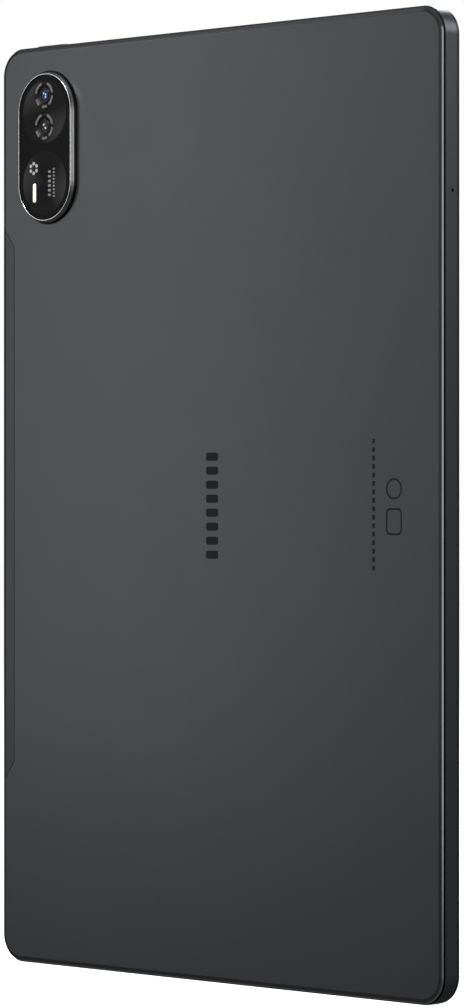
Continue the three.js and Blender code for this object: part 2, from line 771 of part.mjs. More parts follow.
function addCardTray(parent) {
  const group = addGroup(parent, HALF_WIDTH, TRAY.y, EDGE_DEPTH);
  const head = across(pill(2.2, TRAY.width), TRAY.head);
  const body = plate(roundedRect(TRAY.length, TRAY.body, 0.8), 0.8);
  const cardSpace = plate(roundedRect(12.4, 8.9, 0.5), 2).translate(0, 0, -0.5);
  const middle = -TRAY.head / 2 - TRAY.length / 2;
  const pinHole = across(circle(0.45), TRAY.head + 1).translate(-TRAY.head - 0.5, 5.6, 0);
  const blade = cut(body, cardSpace).translate(middle, 0, -0.4);
  const tray = cut(join(blade, head.translate(-TRAY.head, 0, 0)), pinHole);
  addPiece(group, "card_tray", tray, FINISH.band);

  const depth = 17.6;
  const shell = across(roundedRect(1.5, 15, 0.4), depth);
  const way = across(rectangle(-0.52, -6.35, 0.52, 6.35), depth).translate(0.6, 0, 0);
  addPiece(group, "card_reader", cut(shell, way), FINISH.shield, -WALL - 0.25 - depth, 0, 0);
}

/** A speaker box with its membrane well, and the snout that leads sound to the slot at y = 0. */
function speakerBox() {
  const box = softPlate(roundedRect(SPEAKER.width, SPEAKER.height, 1.6), 2.7, 0.3);
  const well = plate(pill(18, 9), 0.8).translate(-3, 1, -0.4);
  const snout = upward(pill(SPEAKER.slot - 0.4, 1.1), 3.4);
  return join(
    cut(box.translate(0, 0, -1.35), well.translate(0, 0, -1.35)),
    snout.translate(0, -SPEAKER.height / 2 - 2.8, EDGE_DEPTH - SPEAKER.depth),
  );
}

function addSpeakers(parent) {
  const places = [
    ["bottom_left", -SPEAKER.x, false],
    ["bottom_right", SPEAKER.x, false],
    ["top_left", -SPEAKER.x, true],
    ["top_right", SPEAKER.x, true],
  ];
  for (const [name, x, atTop] of places) {
    const group = addGroup(parent, x, atTop ? BODY_HEIGHT : 0, 0);
    group.rotation.z = atTop ? Math.PI : 0;
    const height = SPEAKER.from + SPEAKER.height / 2;
    const box = speakerBox();
    addPiece(group, name + "_speaker", box, FINISH.blackPlastic, 0, height, SPEAKER.depth);
    const mesh = upward(pill(SPEAKER.slot - 0.3, 1.2), 0.35);
    addPiece(group, name + "_speaker_mesh", mesh, FINISH.blackPlastic, 0, 0.5, EDGE_DEPTH);
  }
}

function addSideMicrophone(parent) {
  const body = softPlate(roundedRect(1.2, 3.6, 0.3), 1.6, 0.1);
  const x = -HALF_WIDTH + WALL + 0.8;
  addPiece(parent, "side_microphone", body, FINISH.shield, x, SIDE_MIC.y, 2.25);
}

function addScrews(parent) {
  SCREW_PLACES.forEach(([x, y], i) => {
    const screw = turned(
      [
        [0, 0],
        [SCREW.head, 0],
        [SCREW.head, 0.45],
        [SCREW.shaft, 0.5],
        [SCREW.shaft, 1.9],
        [0, 1.9],
      ],
      12,
    );
    addPiece(parent, "board_screw_" + (i + 1), facingOut(screw), FINISH.steel, x, y, 2.35);
  });
}

// ---- Assembly -----------------------------------------------------------------------------------

const tablet = new THREE.Group();
const backFace = addGroup(tablet, 0, BACK_Y, 0);
backFace.rotation.x = Math.PI / 2;

addCover(backFace);
addFrame(backFace);
addScreen(backFace);
addMidPlate(backFace);
addBatteries(backFace);
addMainboard(backFace);
addChargingBoard(backFace);
addCables(backFace);
addIsland(backFace);
addCameras(backFace);
addPowerButton(backFace);
addVolumeRocker(backFace);
addCardTray(backFace);
addSpeakers(backFace);
addSideMicrophone(backFace);
addScrews(backFace);

export default tablet;
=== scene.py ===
"""Looks of a tablet computer: fine outer surfaces, finishes, studio and camera round the CAD frame.

The tablet stands on its short bottom edge, its back towards +Y and its screen towards -Y.
Sizes are millimetres, apart from the studio's and the camera's, which are metres. at() turns a
place on the tablet into metres: x across it, up its height, and depth below its back face. What
stands proud of the back has a negative depth. An inset is a distance inwards from the outer side
wall.
"""

import math

import bmesh
import bpy
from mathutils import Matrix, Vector


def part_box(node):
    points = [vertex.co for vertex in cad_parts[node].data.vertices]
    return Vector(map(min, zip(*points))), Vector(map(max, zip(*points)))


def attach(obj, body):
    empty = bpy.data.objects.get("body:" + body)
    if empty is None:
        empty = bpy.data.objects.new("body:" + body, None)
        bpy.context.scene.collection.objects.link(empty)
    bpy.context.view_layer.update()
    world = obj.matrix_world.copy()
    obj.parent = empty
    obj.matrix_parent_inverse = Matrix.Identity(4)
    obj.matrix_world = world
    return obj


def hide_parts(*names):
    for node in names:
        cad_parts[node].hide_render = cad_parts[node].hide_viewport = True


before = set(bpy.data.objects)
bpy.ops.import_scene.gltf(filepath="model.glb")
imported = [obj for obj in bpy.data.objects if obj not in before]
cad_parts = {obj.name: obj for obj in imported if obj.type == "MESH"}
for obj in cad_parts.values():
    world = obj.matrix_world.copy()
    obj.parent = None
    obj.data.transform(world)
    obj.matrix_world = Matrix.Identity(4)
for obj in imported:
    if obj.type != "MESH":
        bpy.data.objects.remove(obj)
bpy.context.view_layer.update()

MM = 0.001
QUARTER = math.pi / 2


def corners(node):
    """A CAD node's lowest and highest corners, in millimetres."""
    low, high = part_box(node)
    return low / MM, high / MM


def middle(node):
    """The middle of a CAD node's box, in millimetres."""
    low, high = corners(node)
    return (low + high) / 2


# ---- Dimensions ------------------------------------------

BAND_LOW, BAND_HIGH = corners("side_frame")
HALF_WIDTH = BAND_HIGH.x
HEIGHT = BAND_HIGH.z
BACK_Y = corners("rear_cover")[1].y
THICKNESS = BACK_Y - corners("cover_glass")[0].y
CORNER_RADIUS = 7.6
WALL = 3.4                # how far the side band reaches in

FRAME_BACK = BACK_Y - BAND_HIGH.y
FRAME_FRONT = BACK_Y - BAND_LOW.y
COVER_RIM = BACK_Y - corners("rear_cover")[0].y
EDGE_DEPTH = BACK_Y - middle("usb_c_receptacle").y

ISLAND = middle("camera_island_ring")
ISLAND_HALF_STRAIGHT = 9.87
ISLAND_BASE = 11.45       # the island's radius where it comes out of the back
ISLAND_TOP = BACK_Y - corners("camera_island_ring")[1].y
ISLAND_GLASS_TOP = BACK_Y - corners("camera_glass")[1].y
SEAM_GAP = 0.15

CORNER_STEPS = 28
ISLAND_STEPS = 40
ROUND_STEPS = 96
DOME_STEPS = 8
SMOOTH_ANGLE = math.radians(32)
EASE_ANGLE = math.radians(60)


def at(x, up, depth):
    """A place on the tablet as a point in metres."""
    return Vector((x * MM, (BACK_Y - depth) * MM, up * MM))


# ---- Materials -------------------------------------------


class Finish:
    """A node material: one Principled shader, and helpers that feed it from procedural textures."""

    def __init__(self, name, colour, roughness, metallic=0.0, **values):
        self.material = bpy.data.materials.new(name)
        self.material.use_nodes = True
        self.nodes = self.material.node_tree.nodes
        self.links = self.material.node_tree.links
        self.shader = self.nodes["Principled BSDF"]
        self.colour = colour
        self.roughness = roughness
        self.set("Base Color", (*colour, 1))
        self.set("Roughness", roughness)
        self.set("Metallic", metallic)
        for socket, value in values.items():
            self.set(socket.replace("_", " "), value)
        self.place = self.node("TexCoord").outputs["Object"]

    def node(self, kind):
        return self.nodes.new("ShaderNode" + kind)

    def set(self, socket, value):
        self.shader.inputs[socket].default_value = value

    def link(self, source, socket):
        self.links.new(source, self.shader.inputs[socket])

    def noise(self, size, stretch=(1, 1, 1), detail=3.0):
        """Noise whose blotches are about size millimetres across, stretched along an axis."""
        mapping = self.node("Mapping")
        mapping.inputs["Scale"].default_value = [1 / (size * MM * s) for s in stretch]
        self.links.new(self.place, mapping.inputs["Vector"])
        texture = self.node("TexNoise")
        texture.inputs["Scale"].default_value = 1.0
        texture.inputs["Detail"].default_value = detail
        self.links.new(mapping.outputs["Vector"], texture.inputs["Vector"])
        return texture.outputs["Fac"]

    def ranged(self, source, low, high, start=0.3, end=0.7):
        """Maps source from start..end to low..high."""
        node = self.node("MapRange")
        node.inputs["From Min"].default_value = start
        node.inputs["From Max"].default_value = end
        node.inputs["To Min"].default_value = low
        node.inputs["To Max"].default_value = high
        self.links.new(source, node.inputs["Value"])
        return node.outputs["Result"]

    def maths(self, operation, first, second=0.0, third=0.0):
        """A Math node, whose inputs are numbers or sockets."""
        node = self.node("Math")
        node.operation = operation
        for socket, value in zip(node.inputs, (first, second, third)):
            if isinstance(value, (int, float)):
                socket.default_value = value
            else:
                self.links.new(value, socket)
        return node.outputs["Value"]

    def axes(self):
        """The sockets of x, y and up, in metres."""
        node = self.node("SeparateXYZ")
        self.links.new(self.place, node.inputs["Vector"])
        return node.outputs["X"], node.outputs["Y"], node.outputs["Z"]

    def mixed(self, factor, first, second):
        """Mixes two colours, or a socket and a colour, by a factor socket."""
        node = self.node("Mix")
        node.data_type = "RGBA"
        self.links.new(factor, node.inputs["Factor"])
        for name, value in (("A", first), ("B", second)):
            socket = [s for s in node.inputs if s.name == name and s.type == "RGBA"][0]
            if isinstance(value, tuple):
                socket.default_value = (*value, 1)
            else:
                self.links.new(value, socket)
        return [s for s in node.outputs if s.type == "RGBA"][0]

    def reach(self, x, up):
        """Distance from a point on the tablet, seen square to its back, in metres."""
        here_x, _, here_up = self.axes()
        across = self.maths("SUBTRACT", here_x, x * MM)
        above = self.maths("SUBTRACT", here_up, up * MM)
        square = self.maths("MULTIPLY", above, above)
        square = self.maths("MULTIPLY_ADD", across, across, square)
        return self.maths("SQRT", square)

    def cells(self, size, metric="EUCLIDEAN"):
        """Distance from the nearest of many scattered points, in cells of a size."""
        texture = self.node("TexVoronoi")
        texture.distance = metric
        texture.inputs["Scale"].default_value = 1 / (size * MM)
        self.links.new(self.place, texture.inputs["Vector"])
        return texture.outputs["Distance"]

    def stripes(self, pitch, axis):
        """A wave between -1 and 1 along an axis: 0 is x and 2 is up."""
        along = self.axes()[axis]
        return self.maths("SINE", self.maths("MULTIPLY", along, 2 * math.pi / (pitch * MM)))

    def mottle(self, size, amount, stretch=(1, 1, 1)):
        """Lets the colour wander by a fraction either way."""
        darker = tuple(c * (1 - amount) for c in self.colour)
        lighter = tuple(c * (1 + amount) for c in self.colour)
        factor = self.ranged(self.noise(size, stretch), 0, 1)
        self.link(self.mixed(factor, darker, lighter), "Base Color")
        return self

    def uneven(self, size, amount, stretch=(1, 1, 1)):
        """Lets the roughness wander by an amount either way."""
        source = self.noise(size, stretch)
        low = self.roughness - amount
        self.link(self.ranged(source, low, self.roughness + amount), "Roughness")
        return self

    def grain(self, size, height, strength=1.0, stretch=(1, 1, 1)):
        """A fine bump: blotches of a size, with a height in millimetres."""
        return self.bump(self.noise(size, stretch, 2.0), height, strength)

    def bump(self, source, height, strength=1.0):
        """A bump whose source rises by a height in millimetres."""
        node = self.node("Bump")
        node.inputs["Strength"].default_value = strength
        node.inputs["Distance"].default_value = height * MM
        self.links.new(source, node.inputs["Height"])
        self.link(node.outputs["Normal"], "Normal")
        return self


def blasted_metal(name, colour, roughness, grain_height=0.004):
    finish = Finish(name, colour, roughness, 0.85)
    finish.mottle(26, 0.02)
    finish.uneven(9, 0.006)
    finish.grain(0.16, grain_height, 0.5)
    return finish.material


def polished_metal(name, colour, roughness, stretch=(1, 1, 1)):
    finish = Finish(name, colour, roughness, 1.0)
    finish.mottle(6, 0.03)
    finish.uneven(1.5, 0.015, stretch)
    finish.grain(0.06, 0.0004, 0.3, stretch)
    return finish.material


def moulded_plastic(name, colour, roughness):
    finish = Finish(name, colour, roughness, Specular_IOR_Level=0.45)
    finish.mottle(12, 0.05)
    finish.uneven(4, 0.03)
    finish.grain(0.12, 0.004, 0.6)
    return finish.material


COVER_GREY = (0.107, 0.110, 0.116)
STRIP_GREY = (0.084, 0.090, 0.096)
COVER = blasted_metal("cover_metal", COVER_GREY, 0.34)
BAND = blasted_metal("band_metal", (0.099, 0.108, 0.121), 0.40)
POLISHED = polished_metal("polished_edge", (0.62, 0.63, 0.64), 0.15)
COVER_EDGE = blasted_metal("cover_edge_metal", COVER_GREY, 0.16, 0.001)
STRIP = blasted_metal("strip_paint", STRIP_GREY, 0.36)
STRIP_EDGE = blasted_metal("strip_edge_paint", STRIP_GREY, 0.16, 0.001)
BLACK_PLASTIC = moulded_plastic("black_plastic", (0.011, 0.011, 0.012), 0.42)


# ---- Mesh making -----------------------------------------


def rounded(half_x, half_y, radius, steps):
    """Points round a rectangle with round corners, whose corner centres are at the halves."""
    points = []
    for quarter, (sign_x, sign_y) in enumerate(((1, 1), (-1, 1), (-1, -1), (1, -1))):
        for i in range(steps + 1):
            angle = (quarter + i / steps) * QUARTER
            x = sign_x * half_x + radius * math.cos(angle)
            y = sign_y * half_y + radius * math.sin(angle)
            points.append((x, y))
    return points


def body_ring(inset, depth):
    """A ring round the tablet's outline."""
    half_x = HALF_WIDTH - CORNER_RADIUS
    half_up = HEIGHT / 2 - CORNER_RADIUS
    flat = rounded(half_x, half_up, CORNER_RADIUS - inset, CORNER_STEPS)
    return [at(x, up + HEIGHT / 2, depth) for x, up in flat]


def island_ring(radius, depth):
    """A ring round the camera island, whose round ends have a radius."""
    flat = rounded(0.001, ISLAND_HALF_STRAIGHT, radius, ISLAND_STEPS)
    return [at(ISLAND.x + x, ISLAND.z + up, depth) for x, up in flat]


def round_ring(centre):
    """Makes the rings round a lens's middle."""
    turn = 2 * math.pi / ROUND_STEPS

    def ring(radius, depth):
        points = []
        for i in range(ROUND_STEPS):
            x = centre.x + radius * math.cos(i * turn)
            up = centre.z + radius * math.sin(i * turn)
            points.append(at(x, up, depth))
        return points
    return ring


def curve(start, control, end, steps):
    """Points along a soft bend, which leaves start towards control and comes from it to end."""
    points = []
    for i in range(steps + 1):
        t = i / steps
        weights = ((1 - t) ** 2, 2 * t * (1 - t), t ** 2)
        points.append(tuple(
            weights[0] * a + weights[1] * b + weights[2] * c
            for a, b, c in zip(start, control, end)
        ))
    return points


def new_object(name, mesh, *materials):
    piece = bpy.data.objects.new(name, mesh)
    bpy.context.scene.collection.objects.link(piece)
    for material in materials:
        mesh.materials.append(material)
    return piece


def add_band(bm, low, high, material_index=0):
    """Joins two rings of vertices with quads."""
    for i in range(len(low)):
        j = (i + 1) % len(low)
        face = bm.faces.new((low[i], low[j], high[j], high[i]))
        face.material_index = material_index


def skin(name, rings, closed, materials, bands=None):
    """Joins rings of points with quads: a closed ring of rings, or a solid with two end caps.
    bands says which material each band of quads takes."""
    bm = bmesh.new()
    loops = [[bm.verts.new(point) for point in ring] for ring in rings]
    pairs = list(zip(loops, loops[1:]))
    if closed:
        pairs.append((loops[-1], loops[0]))
    bands = bands or [0] * len(loops)
    for (low, high), material_index in zip(pairs, bands):
        add_band(bm, low, high, material_index)
    if not closed:
        bm.faces.new(loops[0])
        last = bm.faces.new(loops[-1])
        last.material_index = bands[-1]
    return solid(name, bm, materials)


def solid(name, bm, materials):
    """Finishes a closed bmesh, with its faces pointing out."""
    bmesh.ops.remove_doubles(bm, verts=bm.verts, dist=1e-8)
    bmesh.ops.recalc_face_normals(bm, faces=bm.faces)
    if bm.calc_volume(signed=True) < 0:
        bmesh.ops.reverse_faces(bm, faces=bm.faces)
    mesh = bpy.data.meshes.new(name)
    bm.to_mesh(mesh)
    bm.free()
    return new_object(name, mesh, *materials)


def loft(name, ring, section, materials, bands=None):
    """A solid whose section is a line of (inset or radius, depth) points, from one cap to the other."""
    return skin(name, [ring(*pair) for pair in section], False, materials, bands)


def sweep(name, ring, section, materials, bands=None):
    """A ring-shaped solid, whose section is a closed line of points."""
    return skin(name, [ring(*pair) for pair in section], True, materials, bands)


def add_prism(bm, foot, head):
    """Adds a closed prism between two rings of points."""
    low = [bm.verts.new(point) for point in foot]
    high = [bm.verts.new(point) for point in head]
    bm.faces.new(low)
    bm.faces.new(high)
    add_band(bm, low, high)


def prism(name, points, along, materials):
    """A closed prism: points are its foot, and along is its length as a vector, in metres."""
    bm = bmesh.new()
    add_prism(bm, points, [point + along for point in points])
    return solid(name, bm, materials)


def on(origin, across, upward, points):
    """Places flat points in a plane through origin, with two directions in metres a unit."""
    return [origin + across * a + upward * b for a, b in points]


X_AXIS = Vector((MM, 0, 0))
DEPTH_AXIS = Vector((0, -MM, 0))
UP_AXIS = Vector((0, 0, MM))


def apply_modifiers(piece):
    """Makes the modifiers' result the piece's own mesh."""
    depsgraph = bpy.context.evaluated_depsgraph_get()
    mesh = bpy.data.meshes.new_from_object(piece.evaluated_get(depsgraph))
    piece.modifiers.clear()
    piece.data = mesh


def combine(piece, tools, operation):
    """Cuts or joins a piece with other solids, which are used up."""
    for tool in tools:
        modifier = piece.modifiers.new("combine", "BOOLEAN")
        modifier.object = tool
        modifier.operation = operation
        modifier.solver = "EXACT"
    apply_modifiers(piece)
    for tool in tools:
        bpy.data.objects.remove(tool)


def ease_edges(piece, width, segments=2):
    """Rounds a piece's sharp edges."""
    modifier = piece.modifiers.new("ease", "BEVEL")
    modifier.width = width * MM
    modifier.segments = segments
    modifier.limit_method = "ANGLE"
    modifier.angle_limit = EASE_ANGLE
    modifier.use_clamp_overlap = True
    apply_modifiers(piece)


def finish_piece(piece, body, slot, *nodes):
    """Shades a piece smoothly, hangs it on the body it rides on, and hides the CAD nodes it stands for.
    """
    for polygon in piece.data.polygons:
        polygon.use_smooth = True
    piece.data.set_sharp_from_angle(angle=SMOOTH_ANGLE)
    weighted = piece.modifiers.new("weighted", "WEIGHTED_NORMAL")
    weighted.keep_sharp = True
    apply_modifiers(piece)
    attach(piece, body)
    if nodes:
        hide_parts(*nodes)


# ---- Rear cover and antenna strip ------------------------

STRIP_BOX = corners("antenna_strip")
STRIP_SEAM_X = STRIP_BOX[0].x
STRIP_SLOPE = 1.3
STRIP_SLANT = STRIP_SLOPE * (STRIP_BOX[1].x - STRIP_SEAM_X)
STRIP_LOW = STRIP_BOX[0].z + STRIP_SLANT
STRIP_HIGH = STRIP_BOX[1].z - STRIP_SLANT
STRIP_REACH = HALF_WIDTH + 0.5

ROLL_START = (1.63, 0)
ROLL_HEADING = (1.50, 0)
CHAMFER_START = (0.64, 0.17)
CHAMFER_END = (0.32, 0.49)
RIM_INSET = 2.4


def back_panel(name, flat, edge, chamfer):
    """The whole back: flat, rolling over softly, then the chamfer and the rim."""
    roll = curve(ROLL_START, ROLL_HEADING, CHAMFER_START, 8)
    section = roll + [CHAMFER_END, (CHAMFER_END[0], COVER_RIM), (RIM_INSET, COVER_RIM)]
    # Material 3, the black plastic, on the cover's side wall under the chamfer and on its rim's
    # underside, with the band's black back face, makes the dark seam: partly a dark joint, partly
    # painted shade in the gap.
    bands = [1] * (len(roll) - 1) + [2, 3, 3, 0]
    return loft(name, body_ring, section, [flat, edge, chamfer, BLACK_PLASTIC], bands)


def strip_prism(margin):
    """The strip's outline, grown by a margin on the sides that meet the cover."""
    seam = STRIP_SEAM_X - margin
    knee = margin * (math.hypot(1, STRIP_SLOPE) - STRIP_SLOPE)
    rise = STRIP_SLOPE * (STRIP_REACH - seam)
    low = STRIP_LOW - knee
    high = STRIP_HIGH + knee
    outline = [(STRIP_REACH, low - rise), (STRIP_REACH, high + rise), (seam, high), (seam, low)]
    return prism("strip_tool", [at(x, up, -1) for x, up in outline], DEPTH_AXIS * 3, [])


def make_cover():
    cover = back_panel("rear_cover_shell", COVER, COVER_EDGE, POLISHED)
    hole_radius = ISLAND_BASE + SEAM_GAP
    hole = loft("hole_tool", island_ring, [(hole_radius, -1), (hole_radius, 1)], [])
    combine(cover, [strip_prism(SEAM_GAP), hole], "DIFFERENCE")
    ease_edges(cover, 0.05)
    finish_piece(cover, "body", "rear_cover", "rear_cover")


def make_strip():
    strip = back_panel("antenna_strip_insert", STRIP, STRIP_EDGE, STRIP_EDGE)
    combine(strip, [strip_prism(0)], "INTERSECT")
    ease_edges(strip, 0.07)
    finish_piece(strip, "body", "antenna_plastic", "antenna_strip")


# ---- Openings in the side band ---------------------------

POWER_X = middle("power_button").x
VOLUME_UP = middle("volume_rocker").z
TRAY_UP = middle("card_tray").z
SOCKET_X = middle("usb_c_receptacle").x
SPEAKER_X = middle("bottom_right_speaker_mesh").x
BOTTOM_MIC_X = middle("bottom_microphone").x
SIDE_MIC_UP = middle("side_microphone").z
SIDE_MIC_DEPTH = 3.53
MIC_RADIUS = 0.5

KEY_THICKNESS = 2.0
POWER_LENGTH = 12.0
VOLUME_LENGTH = 24.0
KEY_PROUD = corners("power_button")[1].z - HEIGHT
KEY_FLANGE = 0.45
KEY_GAP = 0.15
KEY_POCKET = (2.6, 3.3)   # how much longer than its key, and how thick
POWER_POCKET_ROOF = -1.2
VOLUME_POCKET_ROOF = -0.95
TRAY_HEAD = (14.0, 2.2)
TRAY_HEAD_DEPTH = 1.2
TRAY_BLADE = (19.0, 12.2, 0.8)
TRAY_PIN_OFFSET = 5.6
TRAY_PIN_HOLE = 0.9
SOCKET = (8.94, 3.16)
SPEAKER_SLOT = (15.0, 1.5)
OPENING_GAP = 0.3
ALMOST_ROUND = 0.001      # the least straight stretch of a pill that stands for a round hole
OUTSIDE = 0.5
THROUGH = -WALL - 0.5


class Side:
    """One edge of the tablet: a place on it, the long way along it, and the way out of it."""

    def __init__(self, centre, along, out):
        self.centre = centre
        self.along = along
        self.out = out

    def pill(self, length, thickness, shift=0.0):
        """Rings of a pill whose first number is an inset and second a height above the wall."""
        def ring(inset, height):
            flat = rounded((length - thickness) / 2, 0, thickness / 2 - inset, 14)
            origin = self.centre + self.along * shift + self.out * height
            return on(origin, self.along, DEPTH_AXIS, flat)
        return ring

    def tool(self, length, thickness, bottom, top, shift=0.0):
        """A plain pill between two heights above the wall."""
        ring = self.pill(length, thickness, shift)
        return loft("tool", ring, [(0, bottom), (0, top)], [])


def top_side(x):
    return Side(at(x, HEIGHT, EDGE_DEPTH), X_AXIS, UP_AXIS)


def bottom_side(x):
    return Side(at(x, 0, EDGE_DEPTH), X_AXIS, -UP_AXIS)


def right_side(up):
    return Side(at(HALF_WIDTH, up, EDGE_DEPTH), UP_AXIS, X_AXIS)


def left_side(up, depth):
    return Side(at(-HALF_WIDTH, up, depth), UP_AXIS, -X_AXIS)


# ---- Side band, bezel and screen glass -------------------


def key_tools(side, length, pocket_roof):
    """A window for a key's cap, and the pocket behind it for its flange."""
    window = (length + 2 * KEY_GAP, KEY_THICKNESS + 2 * KEY_GAP)
    pocket = (length + KEY_POCKET[0], KEY_POCKET[1])
    return [side.tool(*window, THROUGH, OUTSIDE), side.tool(*pocket, THROUGH, pocket_roof)]


def band_tools():
    """Cutting shapes for the keys, the tray, the socket, the sound slots and the microphones."""
    tools = key_tools(top_side(POWER_X), POWER_LENGTH, POWER_POCKET_ROOF)
    tools += key_tools(right_side(VOLUME_UP), VOLUME_LENGTH, VOLUME_POCKET_ROOF)
    tray = right_side(TRAY_UP)
    mouth = [size + OPENING_GAP for size in TRAY_HEAD]
    tools.append(tray.tool(*mouth, -TRAY_HEAD_DEPTH - OPENING_GAP / 2, OUTSIDE))
    tools.append(tray.tool(TRAY_BLADE[1] + 0.5, TRAY_BLADE[2] + 0.4, THROUGH, -1.0))
    mouth = [size + OPENING_GAP for size in SOCKET]
    tools.append(bottom_side(SOCKET_X).tool(*mouth, THROUGH, OUTSIDE))
    for x in (-SPEAKER_X, SPEAKER_X):
        tools.append(bottom_side(x).tool(*SPEAKER_SLOT, THROUGH, OUTSIDE))
        tools.append(top_side(x).tool(*SPEAKER_SLOT, THROUGH, OUTSIDE))
    hole = (2 * MIC_RADIUS + ALMOST_ROUND, 2 * MIC_RADIUS)
    tools.append(bottom_side(BOTTOM_MIC_X).tool(*hole, THROUGH, OUTSIDE))
    tools.append(left_side(SIDE_MIC_UP, SIDE_MIC_DEPTH).tool(*hole, THROUGH, OUTSIDE))
    return tools


def make_band():
    """The flat band round the edge, black on its three inner faces. Its back face shows in the seam
    under the cover, where the black is partly painted shade in the gap.
    """
    back = FRAME_BACK + 0.04
    front = FRAME_FRONT
    back_round = curve((0.05, back), (0, back), (0, back + 0.05), 3)
    front_round = curve((0, front - 0.14), (0, front), (0.12, front), 4)
    section = back_round + front_round + [(WALL, front), (WALL, back)]
    bands = [0] * (len(section) - 3) + [1, 1, 1]
    band = sweep("side_band", body_ring, section, [BAND, BLACK_PLASTIC], bands)
    combine(band, band_tools(), "DIFFERENCE")
    ease_edges(band, 0.12)
    finish_piece(band, "body", "side_band", "side_frame")


BEZEL_BACK = 5.4
BEZEL_SEAT = 6.05
BEZEL_FRONT = 6.5
BEZEL_OUTER = 0.05
BEZEL_LIP = 0.75
BEZEL_INNER = 3.2


def make_bezel():
    """The plastic ring that carries the screen glass on its seat, inside its lip."""
    outer = curve((0.12, BEZEL_BACK), (BEZEL_OUTER, BEZEL_BACK), (BEZEL_OUTER, 5.5), 3)
    outer += curve((BEZEL_OUTER, 5.95), (0.08, 6.42), (0.5, BEZEL_FRONT), 8)
    lip = [(BEZEL_LIP, BEZEL_FRONT), (BEZEL_LIP, BEZEL_SEAT)]
    section = outer + lip + [(BEZEL_INNER, BEZEL_SEAT), (BEZEL_INNER, BEZEL_BACK)]
    bezel = sweep("screen_bezel", body_ring, section, [BLACK_PLASTIC])
    finish_piece(bezel, "body", "bezel_plastic", "display_bezel")


SCREEN = corners("display_panel")[1] - corners("display_panel")[0]
FRONT_CAMERA = middle("front_camera")
GLASS_BACK = 6.3
GLASS_INSET = 0.85
GLASS_FLAT_INSET = 2.2


def screen_glass():
    """Black gloss: a printed border, a slightly bluer picture area and the camera's clear spot."""
    border = (0.0045, 0.0045, 0.005)
    finish = Finish("screen_glass", border, 0.055, Coat_Weight=0.2, Coat_Roughness=0.03)
    x, _, up = finish.axes()
    past_x = finish.maths("SUBTRACT", finish.maths("ABSOLUTE", x), SCREEN.x / 2 * MM)
    from_middle = finish.maths("SUBTRACT", up, HEIGHT / 2 * MM)
    past_up = finish.maths("SUBTRACT", finish.maths("ABSOLUTE", from_middle), SCREEN.z / 2 * MM)
    past = finish.maths("MAXIMUM", past_x, past_up)
    picture = finish.ranged(past, 1, 0, -0.05 * MM, 0.05 * MM)
    colour = finish.mixed(picture, border, (0.0085, 0.009, 0.012))
    spot = finish.reach(FRONT_CAMERA.x, FRONT_CAMERA.z)
    rim = finish.ranged(spot, 1, 0, 1.45 * MM, 1.5 * MM)
    colour = finish.mixed(rim, colour, (0.016, 0.016, 0.017))
    lens = finish.ranged(spot, 1, 0, 0.6 * MM, 1.1 * MM)
    colour = finish.mixed(lens, colour, (0.008, 0.014, 0.045))
    finish.link(colour, "Base Color")
    finish.uneven(30, 0.01)
    return finish.material


SCREEN_GLASS = screen_glass()


def make_screen_glass():
    """The screen's glass, whose edge rounds off to the front."""
    edge = curve((GLASS_INSET, 6.55), (0.9, THICKNESS), (GLASS_FLAT_INSET, THICKNESS), 8)
    section = [(GLASS_FLAT_INSET, GLASS_BACK), (GLASS_INSET, GLASS_BACK)] + edge
    glass = loft("screen_cover_glass", body_ring, section, [SCREEN_GLASS])
    finish_piece(glass, "body", "screen_glass", "cover_glass")


# ---- Camera island ---------------------------------------

TRIM_BASE = polished_metal("island_base_metal", (0.055, 0.056, 0.058), 0.32)
TRIM_WALL = polished_metal("island_wall_metal", (0.42, 0.425, 0.43), 0.30, (1, 1, 0.2))
TRIM_CREST = polished_metal("island_crest_metal", (0.92, 0.92, 0.93), 0.26)
LENS_METAL = polished_metal("lens_trim_metal", (0.028, 0.028, 0.030), 0.42)
# The arcs' paler colour partly paints the reflections that a segmented ring shows.
LENS_ARC = blasted_metal("lens_arc_metal", (0.22, 0.22, 0.215), 0.40)
MAIN_LENS = middle("main_lens_ring")
SECOND_LENS = middle("second_lens_ring")
FLASH = middle("flash_lens")
FLASH_SIZE = (5.4, 1.46)
LENS_RADIUS = 3.785
LENS_RING_TOP = BACK_Y - corners("main_lens_ring")[1].y
LENS_ARCS = ((9, 72), (111, 171), (187, 234), (249, 284), (306, 341))
ARC_RADII = (2.95, 3.72)
LENS_FOOT = -0.8
ISLAND_FOOT = 0.66
ISLAND_SHELF = 9.5
CREST_INNER = 10.44
SHEEN_RADIUS = 8.9
GLOSS_BLACK = Finish("gloss_black", (0.008, 0.008, 0.009), 0.12).uneven(0.6, 0.02).material


def island_glass():
    """Black gloss with two faint discs of painted sheen, one round each end's centre: bright sectors
    standing for a spun pattern's reflection, painted into the base colour.
    """
    finish = Finish("island_glass", (0.0045, 0.0045, 0.005), 0.10, Specular_IOR_Level=0.035)
    x, _, up = finish.axes()
    colour = finish.colour
    for sign, turn in ((1, -1.5), (-1, -0.4)):
        centre_up = ISLAND.z + sign * ISLAND_HALF_STRAIGHT
        across = finish.maths("SUBTRACT", x, ISLAND.x * MM)
        above = finish.maths("SUBTRACT", up, centre_up * MM)
        reach = finish.reach(ISLAND.x, centre_up)
        inside = finish.ranged(reach, 1, 0, (SHEEN_RADIUS - 0.15) * MM, SHEEN_RADIUS * MM)
        # Painted sheen: two bright sectors round each disc's centre, where a spun pattern would reflect
        # the light, put into the base colour.
        angle = finish.maths("ARCTAN2", above, across)
        wave = finish.maths("COSINE", finish.maths("MULTIPLY_ADD", angle, 2.0, turn))
        bright = finish.ranged(wave, 0.12, 1.0, -0.3, 1.0)
        outward = finish.ranged(reach, 0.25, 1.0, 2 * MM, SHEEN_RADIUS * MM)
        factor = finish.maths("MULTIPLY", finish.maths("MULTIPLY", inside, bright), outward)
        colour = finish.mixed(factor, colour, (0.036, 0.036, 0.037))
    finish.link(colour, "Base Color")
    return finish.material


ISLAND_GLASS = island_glass()


